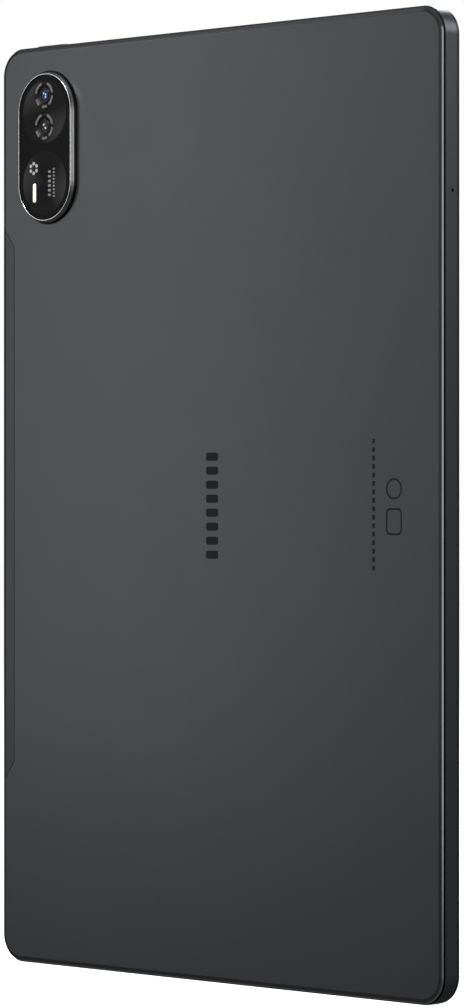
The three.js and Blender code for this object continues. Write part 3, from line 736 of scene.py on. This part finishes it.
def make_island_ring():
    """The island's metal: a hidden flange, a dark foot, a sloping wall and a bright narrow crest."""
    flange = [(ISLAND_SHELF, 1.0), (12.6, 1.0), (12.6, ISLAND_FOOT), (ISLAND_BASE, ISLAND_FOOT)]
    lower = [(ISLAND_BASE, 0.05), (11.43, -0.12), (11.27, -0.72), (11.22, -0.80)]
    upper = [(11.16, -0.81), (11.14, -0.84), (10.935, -1.25), (10.895, -1.275), (10.90, -1.31)]
    crest = curve((10.755, -1.60), (10.71, ISLAND_TOP), (10.62, ISLAND_TOP), 6)
    crest += curve((10.53, ISLAND_TOP), (CREST_INNER, ISLAND_TOP), (CREST_INNER, -1.64), 5)
    well = [(CREST_INNER, -0.9), (ISLAND_SHELF, -0.9)]
    section = flange + lower + upper + crest + well
    bands = [0] * (len(flange) + len(lower)) + [1] * len(upper) + [2] * (len(crest) - 1)
    bands += [0] * (len(section) - len(bands))
    materials = [TRIM_BASE, TRIM_WALL, TRIM_CREST]
    ring = sweep("camera_island_trim", island_ring, section, materials, bands)
    finish_piece(ring, "body", "trim_metal", "camera_island_ring")


def flash_ring(length, width):
    """Makes the rings round the flash, whose first number is an inset."""
    def ring(inset, depth):
        flat = rounded(0, (length - width) / 2, width / 2 - inset, 14)
        return [at(FLASH.x + x, FLASH.z + up, depth) for x, up in flat]
    return ring


def make_island_glass():
    """The island's glass, with holes for the two lens trims and the flash."""
    top = ISLAND_GLASS_TOP
    radius = 10.15
    edge = curve((radius, top + 0.14), (radius, top), (10.0, top), 5)
    glass = loft("camera_island_glass", island_ring, [(radius, top + 0.7)] + edge, [ISLAND_GLASS])
    tools = []
    hole = [(LENS_RADIUS + 0.1, -3), (LENS_RADIUS + 0.1, 0)]
    for lens in (MAIN_LENS, SECOND_LENS):
        tools.append(loft("hole", round_ring(lens), hole, []))
    flash = flash_ring(FLASH_SIZE[0] + 0.2, FLASH_SIZE[1] + 0.2)
    tools.append(loft("hole", flash, [(0, -3), (0, 0)], []))
    combine(glass, tools, "DIFFERENCE")
    ease_edges(glass, 0.05)
    finish_piece(glass, "body", "camera_glass", "camera_glass")


def arc_solid(bm, centre, start, end, bottom, top):
    """Adds one of a lens trim's flat arcs, between two angles in degrees and two depths."""
    inner, outer = ARC_RADII
    steps = max(4, round((end - start) / 4))
    rims = []
    for i in range(steps + 1):
        angle = math.radians(start + (end - start) * i / steps)
        rim = []
        for radius, depth in ((inner, bottom), (outer, bottom), (outer, top), (inner, top)):
            x = centre.x + radius * math.cos(angle)
            up = centre.z + radius * math.sin(angle)
            rim.append(bm.verts.new(at(x, up, depth)))
        rims.append(rim)
    bm.faces.new(rims[0])
    bm.faces.new(rims[-1])
    for low, high in zip(rims, rims[1:]):
        add_band(bm, low, high)


def join_pieces(name, pieces):
    """Puts the meshes of several pieces, each of one material, into one object."""
    materials = []
    bm = bmesh.new()
    for piece in pieces:
        first = len(bm.faces)
        bm.from_mesh(piece.data)
        bm.faces.ensure_lookup_table()
        for face in bm.faces[first:]:
            face.material_index = len(materials)
        materials.append(piece.data.materials[0])
    mesh = bpy.data.meshes.new(name)
    bm.to_mesh(mesh)
    bm.free()
    for piece in pieces:
        bpy.data.objects.remove(piece)
    return new_object(name, mesh, *materials)


def make_lens_ring(name, node, centre):
    """A flat dark trim with five raised paler arcs, stepping down to the window inside it. The arcs'
    paler colour is partly painted reflection.
    """
    top = LENS_RING_TOP
    outside = [(2.1, LENS_FOOT), (LENS_RADIUS, LENS_FOOT), (LENS_RADIUS, top + 0.05)]
    face = [(3.76, top), (2.80, top), (2.74, top + 0.05)]
    steps = [(2.56, top + 0.12), (2.56, top + 0.17), (2.38, top + 0.21), (2.38, top + 0.26)]
    section = outside + face + steps + [(2.2, top + 0.29), (2.1, top + 0.33)]
    base = sweep(name + "_base", round_ring(centre), section, [LENS_METAL])
    bm = bmesh.new()
    for start, end in LENS_ARCS:
        arc_solid(bm, centre, start, end, top + 0.02, top - 0.03)
    arcs = solid(name + "_arcs", bm, [LENS_ARC])
    ease_edges(arcs, 0.02, 1)
    ring = join_pieces(name, [base, arcs])
    finish_piece(ring, "body", "trim_metal", node)


def coated_lens_with_painted_light(name, centre, glow, glint, tint, spots):
    """Dark coated glass with painted light: a speckled glow for the coating's reflection, and painted
    glints for reflections of the lenses below, each given by its place from the middle and its radius.
    Both are put into its colour and given off as light."""
    finish = Finish(name, glow, 0.08, Specular_IOR_Level=0.25, Specular_Tint=(*tint, 1))
    # Painted glow: the glass gives off its painted colour as light, though it is no lamp.
    finish.set("Emission Strength", 0.45)
    fade = finish.ranged(finish.reach(centre.x, centre.z), 1, 0, 0.75 * MM, 1.65 * MM)
    speckle = finish.ranged(finish.cells(1.1), 0.0, 1.0, 0.18, 0.50)
    colour = finish.mixed(finish.maths("MULTIPLY", fade, speckle), (0.004, 0.004, 0.005), glow)
    # Painted glints: small bright spots standing for the reflections of the lenses below.
    for x, up, radius in spots:
        reach = finish.reach(centre.x + x, centre.z + up)
        spot = finish.ranged(reach, 1, 0, 0.45 * radius * MM, radius * MM)
        colour = finish.mixed(spot, colour, glint)
    finish.link(colour, "Base Color")
    finish.link(colour, "Emission Color")
    finish.bump(finish.noise(0.6), 0.02, 0.5)
    return finish.material


def dome(radius, foot, rise):
    """Section points of a dome, from its rim almost to its top."""
    points = []
    for i in range(DOME_STEPS):
        angle = i / DOME_STEPS * QUARTER
        points.append((radius * math.cos(angle), foot - rise * math.sin(angle)))
    return points


def make_lens_window(name, node, centre, coating):
    """A black rim, and an outer lens with a smaller one standing on it."""
    rim = [(2.0, LENS_FOOT), (2.0, -1.26), (1.97, -1.30), (1.90, -1.30), (1.86, -1.27)]
    outer = dome(1.82, -1.27, 0.17)[:5]
    inner = [(0.90, -1.40)] + dome(0.86, -1.39, 0.16)
    section = rim + outer + inner
    bands = [0] * len(rim) + [1] * (len(outer) + len(inner) - 1)
    ring = round_ring(centre)
    window = loft(name, ring, section, [GLOSS_BLACK, coating], bands)
    finish_piece(window, "body", "lens_glass", node)


# Each lens: its name, its centre, its painted glow's colour, its painted glints' colour, its specular
# tint, and its painted glints as (x, up, radius).
LENSES = (
    ("main_lens", MAIN_LENS, (0.019, 0.036, 0.095), (0.36, 0.48, 0.80), (0.5, 0.7, 1.0),
     ((0.25, 0.45, 0.36), (-0.55, 0.10, 0.33), (-0.45, -0.60, 0.36))),
    ("second_lens", SECOND_LENS, (0.016, 0.016, 0.017), (0.46, 0.46, 0.47), (0.9, 0.9, 0.9),
     ((0.20, 0.50, 0.42), (-0.45, -0.45, 0.42))),
)


def make_lenses():
    for name, centre, *coats in LENSES:
        make_lens_ring(name + "_trim", name + "_ring", centre)
        coating = coated_lens_with_painted_light(name + "_coating", centre, *coats)
        make_lens_window(name + "_glass", name + "_window", centre, coating)


def flash_plastic():
    """Cream plastic with fine cross ridges, tan along its rim, and a soft light of its own."""
    finish = Finish("flash_plastic", (0.93, 0.88, 0.70), 0.28)
    finish.set("Emission Strength", 0.42)
    ridges = finish.stripes(0.42, 2)
    paler = finish.ranged(ridges, 0, 1, -1, 1)
    x = finish.axes()[0]
    aside = finish.maths("ABSOLUTE", finish.maths("SUBTRACT", x, FLASH.x * MM))
    rim = finish.ranged(aside, 0, 1, 0.42 * MM, 0.68 * MM)
    middle_colour = finish.mixed(paler, (0.90, 0.83, 0.60), (0.98, 0.96, 0.86))
    colour = finish.mixed(rim, middle_colour, (0.62, 0.50, 0.30))
    finish.link(colour, "Base Color")
    finish.link(colour, "Emission Color")
    finish.bump(ridges, 0.02, 0.6)
    return finish.material


def make_flash():
    """A round-ended window, just below the glass around it."""
    top = ISLAND_GLASS_TOP + 0.05
    section = [(0, top + 0.65)] + curve((0.0, top + 0.22), (0.0, top), (0.3, top), 5)
    flash = loft("flash_window", flash_ring(*FLASH_SIZE), section, [flash_plastic()])
    finish_piece(flash, "body", "flash_plastic", "flash_lens")


# ---- Keys, card tray, socket and sound slots -------------


def make_key(name, side, length, stems, body, node):
    """A cap with a crown, a flange that keeps it in its pocket, and the stems that press."""
    crown = curve((0, KEY_PROUD - 0.22), (0, KEY_PROUD), (0.28, KEY_PROUD), 5)
    section = [(-KEY_FLANGE, -1.85), (-KEY_FLANGE, -1.35), (0, -1.35)] + crown
    key = loft(name, side.pill(length, KEY_THICKNESS), section, [BAND])
    for shift in stems:
        combine(key, [side.tool(3.0, 1.4, -2.6, -1.6, shift)], "UNION")
    finish_piece(key, body, "side_band", node)


def make_keys():
    top, right = top_side(POWER_X), right_side(VOLUME_UP)
    make_key("power_key_cap", top, POWER_LENGTH, (0,), "power_key", "power_button")
    make_key("volume_key_cap", right, VOLUME_LENGTH, (-8, 8), "volume_key", "volume_rocker")


def flat_plate(side, reach, width, radius, thickness, from_height, materials):
    """A plate lying in the tablet's plane, which reaches in from a height above the wall."""
    flat = rounded(reach / 2 - radius, width / 2 - radius, radius, 8)
    origin = side.centre + side.out * (from_height - reach / 2) - DEPTH_AXIS * thickness / 2
    points = on(origin, side.out, side.along, flat)
    return prism("plate", points, DEPTH_AXIS * thickness, materials)


def make_tray():
    """The head that closes the slot, and the blade with its ledge for one card."""
    side = right_side(TRAY_UP)
    section = [(0.1, -TRAY_HEAD_DEPTH), (0, -TRAY_HEAD_DEPTH + 0.1)]
    section += curve((0, -0.15), (0, 0), (0.18, 0), 4)
    tray = loft("card_tray_drawer", side.pill(*TRAY_HEAD), section, [BAND])
    length, width, thickness = TRAY_BLADE
    blade = flat_plate(side, length, width, 0.9, thickness, -0.6, [BAND])
    seat = flat_plate(side, 12.4, 8.9, 0.5, thickness, -3.9, [])
    seat.location = -DEPTH_AXIS * 0.25
    well = flat_plate(side, 10.6, 7.1, 0.5, 2 * thickness, -4.8, [])
    pin_hole = (TRAY_PIN_HOLE + ALMOST_ROUND, TRAY_PIN_HOLE)
    pin = side.tool(*pin_hole, -TRAY_HEAD_DEPTH - 0.4, OUTSIDE, TRAY_PIN_OFFSET)
    bpy.context.view_layer.update()
    combine(tray, [blade], "UNION")
    combine(tray, [seat, well, pin], "DIFFERENCE")
    ease_edges(tray, 0.06)
    finish_piece(tray, "card_carrier", "side_band", "card_tray")


STEEL = polished_metal("socket_steel", (0.45, 0.45, 0.46), 0.26)
GOLD = polished_metal("contact_gold", (0.83, 0.62, 0.28), 0.22)
TONGUE_HALF = (3.35, 0.35)
CONTACT_COUNT = 12
CONTACT_PITCH = 0.5
CONTACT_HALF = (0.13, 0.03)
GRILLE_PITCH = 0.58
GRILLE_HOLE_RADIUS = 0.17
GRILLE_ROWS = ((-0.24, 0.0), (0.24, 0.5))


def make_shell(side, front, back):
    """The socket's steel shell, with a rounded lip."""
    wall = 0.3
    lip = curve((0, front - 0.12), (0, front), (wall / 2, front), 3)
    lip += curve((wall / 2, front), (wall, front), (wall, front - 0.15), 3)[1:]
    section = [(0, back)] + lip + [(wall, back + 1.0)]
    shell = loft("usb_c_socket", side.pill(*SOCKET), section, [STEEL])
    finish_piece(shell, "body", "steel", "usb_c_receptacle")


def make_tongue(side, tip, foot):
    """The plastic tongue, tapering at its tip."""
    rings = []
    for height, less, thinner, radius in (
        (foot, 0, 0, 0.15), (tip - 0.25, 0, 0, 0.15),
        (tip - 0.08, 0.08, 0.06, 0.15), (tip, 0.25, 0.16, 0.12),
    ):
        half_along = TONGUE_HALF[0] - less - radius
        half_depth = TONGUE_HALF[1] - thinner - radius
        flat = rounded(half_along, half_depth, radius, 6)
        rings.append(on(side.centre + side.out * height, side.along, DEPTH_AXIS, flat))
    tongue = skin("usb_c_tongue", rings, False, [BLACK_PLASTIC])
    finish_piece(tongue, "body", "black_plastic")


def make_contacts(side, tip):
    """Two rows of gold contacts, one on each face of the tongue."""
    half_along, half_depth = CONTACT_HALF
    flat = [(-half_along, -half_depth), (half_along, -half_depth)]
    flat += [(half_along, half_depth), (-half_along, half_depth)]
    bm = bmesh.new()
    for face in (-1, 1):
        for i in range(CONTACT_COUNT):
            shift = (i - (CONTACT_COUNT - 1) / 2) * CONTACT_PITCH
            centre = side.centre + side.along * shift + DEPTH_AXIS * face * TONGUE_HALF[1]
            foot = on(centre + side.out * (tip - 4.2), side.along, DEPTH_AXIS, flat)
            head = on(centre + side.out * (tip - 0.45), side.along, DEPTH_AXIS, flat)
            add_prism(bm, foot, head)
    contacts = solid("usb_c_contacts", bm, [GOLD])
    finish_piece(contacts, "body", "steel")


def make_socket():
    low, high = corners("usb_c_receptacle")
    front, back = -low.z, -high.z
    side = bottom_side(SOCKET_X)
    tip = front - 0.9
    make_shell(side, front, back)
    make_tongue(side, tip, back + 0.8)
    make_contacts(side, tip)


def make_sound_grille(place, side, inside, outside):
    """A thin plate behind a sound slot, with two staggered rows of fine holes."""
    plate = side.tool(SPEAKER_SLOT[0] - 0.3, 1.2, inside, outside)
    plate.name = place + "_grille"
    plate.data.materials.append(BLACK_PLASTIC)
    hole = rounded(0, 0, GRILLE_HOLE_RADIUS, 2)
    bm = bmesh.new()
    for row, shift in GRILLE_ROWS:
        for i in range(-11, 12):
            centre = side.centre + side.along * (i + shift) * GRILLE_PITCH + DEPTH_AXIS * row
            foot = on(centre + side.out * (inside - 0.2), side.along, DEPTH_AXIS, hole)
            head = on(centre + side.out * (outside + 0.2), side.along, DEPTH_AXIS, hole)
            add_prism(bm, foot, head)
    combine(plate, [solid("holes", bm, [])], "DIFFERENCE")
    finish_piece(plate, "body", "black_plastic", place + "_speaker_mesh")


def make_sound_grilles():
    for end, side, sign, edge in (("bottom", bottom_side, -1, 0), ("top", top_side, 1, HEIGHT)):
        for hand, x in (("left", -SPEAKER_X), ("right", SPEAKER_X)):
            place = end + "_" + hand
            heights = [sign * corner.z - edge for corner in corners(place + "_speaker_mesh")]
            make_sound_grille(place, side(x), min(heights), max(heights))


# ---- Plain printed marks ---------------------------------

FILM = 0.012
OUTLINE = 0.5


def ink(name, shade, roughness, gloss):
    """Printed ink, whose roughness and shade wander a little."""
    finish = Finish(name, (shade, shade, shade * 1.05), roughness, Specular_IOR_Level=gloss)
    return finish.mottle(0.8, 0.1).uneven(0.8, 0.04).material


INK = ink("gloss_ink", 0.006, 0.22, 0.10)
FINE_INK = ink("matt_ink", 0.012, 0.45, 0.15)
PALE_INK = ink("pale_ink", 0.50, 0.50, 0.5)
FAINT_INK = ink("faint_ink", 0.25, 0.50, 0.5)


def printed(name, shapes, depth, material, slot):
    """Thin closed films of ink: each shape is a list of (x, up) outlines, the outer one first."""
    bm = bmesh.new()
    for outlines in shapes:
        loops = []
        for outline in outlines:
            top = [bm.verts.new(at(x, up, depth - FILM)) for x, up in outline]
            bottom = [bm.verts.new(at(x, up, depth + FILM)) for x, up in outline]
            loops.append((top, bottom))
            add_band(bm, bottom, top)
        for layer in (0, 1):
            if len(loops) == 1:
                bm.faces.new(loops[0][layer])
            else:
                add_band(bm, loops[0][layer], loops[1][layer])
    marks = solid(name, bm, [material])
    finish_piece(marks, "body", slot)


def block(x, up, width, height, radius):
    """The outline of a block with round corners."""
    flat = rounded(width / 2 - radius, height / 2 - radius, radius, 6)
    return [(x + a, up + b) for a, b in flat]


def column(x, foot, count, pitch, size, radius):
    """Equal blocks one above another."""
    return [[block(x, foot + i * pitch, *size, radius)] for i in range(count)]


def outlined(x, up, size, radius):
    """A block's outer and inner outline."""
    width, height = [length - 2 * OUTLINE for length in size]
    return [block(x, up, *size, radius), block(x, up, width, height, radius - OUTLINE)]


def dot_ring(x, up, count, ring_radius, dot_radius):
    """Dots round a point. Each keeps a short straight stretch on its four sides."""
    dots = []
    for i in range(count):
        angle = (i + 0.5) * 2 * math.pi / count
        dot_x = x + ring_radius * math.cos(angle)
        dot_up = up + ring_radius * math.sin(angle)
        dots.append([block(dot_x, dot_up, 2 * dot_radius, 2 * dot_radius, dot_radius - 0.01)])
    return dots


def make_marks():
    """Plain printed shapes, which say nothing."""
    blocks = column(x=-0.2, foot=115.2, count=8, pitch=3.77, size=(4.6, 2.2), radius=0.7)
    printed("plain_blocks", blocks, 0, INK, "rear_cover")
    dashes = column(x=-59.8, foot=112.2, count=16, pitch=2.2, size=(1.0, 1.3), radius=0.3)
    printed("plain_dashes", dashes, 0, FINE_INK, "rear_cover")
    circle = outlined(x=-67.0, up=132.8, size=(5.6, 5.6), radius=2.8)
    oblong = outlined(x=-67.0, up=124.3, size=(5.6, 7.0), radius=1.4)
    printed("plain_outlines", [circle, oblong], 0, FINE_INK, "rear_cover")
    dots = dot_ring(FLASH.x + 0.2, FLASH.z + 6.9, count=6, ring_radius=1.35, dot_radius=0.5)
    printed("dot_ring", dots, ISLAND_GLASS_TOP, PALE_INK, "camera_glass")
    foot = FLASH.z - 0.8
    ticks = column(x=62.6, foot=foot, count=6, pitch=1.3, size=(1.1, 0.7), radius=0.25)
    ticks += column(x=60.8, foot=foot - 0.4, count=9, pitch=0.95, size=(0.8, 0.5), radius=0.2)
    printed("plain_ticks", ticks, ISLAND_GLASS_TOP, FAINT_INK, "camera_glass")


# ---- Inner pieces ----------------------------------------


def circuit_board():
    """Dark green lacquer with fine tracks and gold-plated pads."""
    finish = Finish("board_lacquer", (0.010, 0.052, 0.034), 0.42)
    track = finish.ranged(finish.stripes(0.9, 0), 0, 1, 0.80, 0.95)
    patch = finish.ranged(finish.noise(5), 0, 1, 0.48, 0.52)
    tracks = finish.maths("MULTIPLY", track, patch)
    colour = finish.mixed(tracks, finish.colour, (0.022, 0.105, 0.062))
    pads = finish.ranged(finish.cells(2.4, "CHEBYCHEV"), 1, 0, 0.16, 0.18)
    colour = finish.mixed(pads, colour, (0.62, 0.43, 0.15))
    finish.link(colour, "Base Color")
    finish.link(finish.ranged(pads, 0.42, 0.25, 0, 1), "Roughness")
    return finish.bump(tracks, 0.02, 0.6).material


def flex_film():
    """Amber film with copper tracks showing through."""
    finish = Finish("flex_film", (0.42, 0.20, 0.05), 0.35)
    track = finish.ranged(finish.stripes(0.6, 0), 0, 1, -0.1, 0.1)
    finish.link(finish.mixed(track, finish.colour, (0.55, 0.30, 0.12)), "Base Color")
    return finish.bump(track, 0.01, 0.5).uneven(2, 0.05).material


def battery_pouch():
    """Crinkled laminated foil."""
    finish = Finish("pouch_foil", (0.055, 0.056, 0.060), 0.36, 0.5)
    finish.mottle(30, 0.12)
    return finish.bump(finish.noise(3.5, (1, 1, 2.5), 4), 0.05, 0.7).uneven(6, 0.06).material


def reflector_film():
    """White satin film with a lattice of fine dots."""
    finish = Finish("reflector_film", (0.80, 0.81, 0.82), 0.35)
    dots = finish.ranged(finish.cells(0.8), 1, 0, 0.2, 0.3)
    finish.link(finish.mixed(dots, finish.colour, (0.62, 0.63, 0.65)), "Base Color")
    return finish.bump(dots, 0.01, 0.5).material


def soft_sheet(name, colour, roughness, size, height, metallic=0.0):
    finish = Finish(name, colour, roughness, metallic)
    return finish.mottle(size * 4, 0.15).uneven(size * 2, 0.05).grain(size, height, 0.8).material


SHIELD = polished_metal("tinned_shield", (0.60, 0.61, 0.62), 0.34, (4, 1, 1))
BRIGHT_STEEL = polished_metal("bright_steel", (0.58, 0.58, 0.59), 0.24)
INNER_FINISHES = (
    (circuit_board(), ("board",)),
    (flex_film(), ("_flex",)),
    (battery_pouch(), ("battery_cell_left", "battery_cell_right")),
    (reflector_film(), ("backlight_unit",)),
    (SHIELD, ("_shield", "card_reader", "_microphone")),
    (BRIGHT_STEEL, ("_dome_switch", *("board_screw_%d" % number for number in range(1, 7)))),
    (soft_sheet("seal_foam", (0.012, 0.012, 0.012), 0.85, 0.25, 0.05), ("_seal", "_adhesive")),
    (soft_sheet("graphite_film", (0.035, 0.035, 0.038), 0.55, 0.4, 0.01, 0.4), ("_sheet",)),
    (soft_sheet("cast_plate", (0.32, 0.33, 0.34), 0.42, 0.6, 0.02, 0.9), ("mid_plate",)),
    (soft_sheet("display_film", (0.020, 0.021, 0.026), 0.15, 0.3, 0.002), ("display_panel",)),
    (BLACK_PLASTIC, ("_speaker", "_housing", "_barrel", "_module", "front_camera")),
)


def dress_inner_pieces():
    """Gives each inner piece the finish that lists the end of its name."""
    for material, endings in INNER_FINISHES:
        for name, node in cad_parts.items():
            if name.endswith(endings):
                for place in node.material_slots:
                    place.material = material


make_cover()
make_strip()
make_band()
make_bezel()
make_screen_glass()
make_island_ring()
make_island_glass()
make_lenses()
make_flash()
make_keys()
make_tray()
make_socket()
make_sound_grilles()
make_marks()
dress_inner_pieces()


# ---- Studio and camera -----------------------------------

CAMERA_AIM = Vector((-0.00262, -0.00262, 0.12885))
CAMERA_DISTANCE = 1.1882
CAMERA_AZIMUTH = math.radians(135)
LENS = 157.38
LIGHTS_AIM = Vector((0, 0, 0.1285))
ROOM_LIGHT = 0.07
FLOOR_HALF = 6


def make_camera():
    data = bpy.data.cameras.new("camera")
    data.lens = LENS
    data.sensor_width = 36
    data.clip_start = 0.05
    camera = bpy.data.objects.new("camera", data)
    bpy.context.scene.collection.objects.link(camera)
    away = Vector((math.cos(CAMERA_AZIMUTH), math.sin(CAMERA_AZIMUTH), 0))
    camera.location = CAMERA_AIM + away * CAMERA_DISTANCE
    camera.rotation_euler = (-away).to_track_quat("-Z", "Y").to_euler()
    bpy.context.scene.camera = camera


def make_floor():
    """A plain pale floor, which glows a little so that it stays pale in every view."""
    bm = bmesh.new()
    bmesh.ops.create_grid(bm, x_segments=1, y_segments=1, size=FLOOR_HALF)
    mesh = bpy.data.meshes.new("floor")
    bm.to_mesh(mesh)
    bm.free()
    finish = Finish("floor_paper", (0.9, 0.9, 0.9), 0.9)
    finish.set("Emission Color", (1, 1, 1, 1))
    finish.set("Emission Strength", 0.9)
    floor = new_object("floor", mesh, finish.material)
    floor.visible_diffuse = False
    floor.visible_glossy = False


def make_world():
    """White where the camera sees it, and a dim even light everywhere else."""
    world = bpy.data.worlds.new("studio")
    bpy.context.scene.world = world
    world.use_nodes = True
    nodes = world.node_tree.nodes
    links = world.node_tree.links
    nodes.clear()
    room, seen = [nodes.new("ShaderNodeBackground") for _ in range(2)]
    for background, strength in ((room, ROOM_LIGHT), (seen, 1.0)):
        background.inputs["Color"].default_value = (1, 1, 1, 1)
        background.inputs["Strength"].default_value = strength
    path = nodes.new("ShaderNodeLightPath")
    mix = nodes.new("ShaderNodeMixShader")
    output = nodes.new("ShaderNodeOutputWorld")
    links.new(path.outputs["Is Camera Ray"], mix.inputs["Fac"])
    links.new(room.outputs["Background"], mix.inputs[1])
    links.new(seen.outputs["Background"], mix.inputs[2])
    links.new(mix.outputs["Shader"], output.inputs["Surface"])


def softbox(name, place, width, height, watts):
    """A soft rectangular light, aimed at the middle of the tablet."""
    data = bpy.data.lights.new(name, "AREA")
    data.shape = "RECTANGLE"
    data.size = width
    data.size_y = height
    data.energy = watts
    light = bpy.data.objects.new(name, data)
    bpy.context.scene.collection.objects.link(light)
    light.location = place
    light.rotation_euler = (Vector(place) - LIGHTS_AIM).to_track_quat("Z", "Y").to_euler()
    light.visible_camera = False


LIGHTS = (
    ("key", (0.647, 0.624, 0.176), 0.16, 0.5, 0.22),
    ("high_key", (0.647, 0.624, 0.567), 0.2, 0.5, 0.145),
    ("near_strip", (0.31, 0.26, 0.20), 0.10, 0.34, 0.059),
    ("right_edge", (0.16, 0.548, 0.20), 0.12, 0.36, 0.02),
    ("overhead", (0.16, 0.905, 0.90), 0.3, 0.3, 12.5),
    ("camera_side", (-1.018, 0.855, 0.363), 0.5, 0.9, 0.60),
    ("left_side", (-0.812, -0.812, 0.739), 0.5, 0.5, 2.6),
    ("high_left", (-1.0, -0.364, 0.874), 0.5, 0.5, 6.6),
    ("island_rim", (-1.259, 0.268, 0.309), 0.25, 0.3, 0.52),
    ("screen_side", (0.7, -1.2, 1.1), 0.6, 0.6, 10.0),
    ("key_side", (1.3, -0.32, 0.42), 0.6, 0.6, 2.0),
)

make_camera()
make_floor()
make_world()
for light in LIGHTS:
    softbox(*light)
bpy.context.scene.view_settings.view_transform = "Standard"
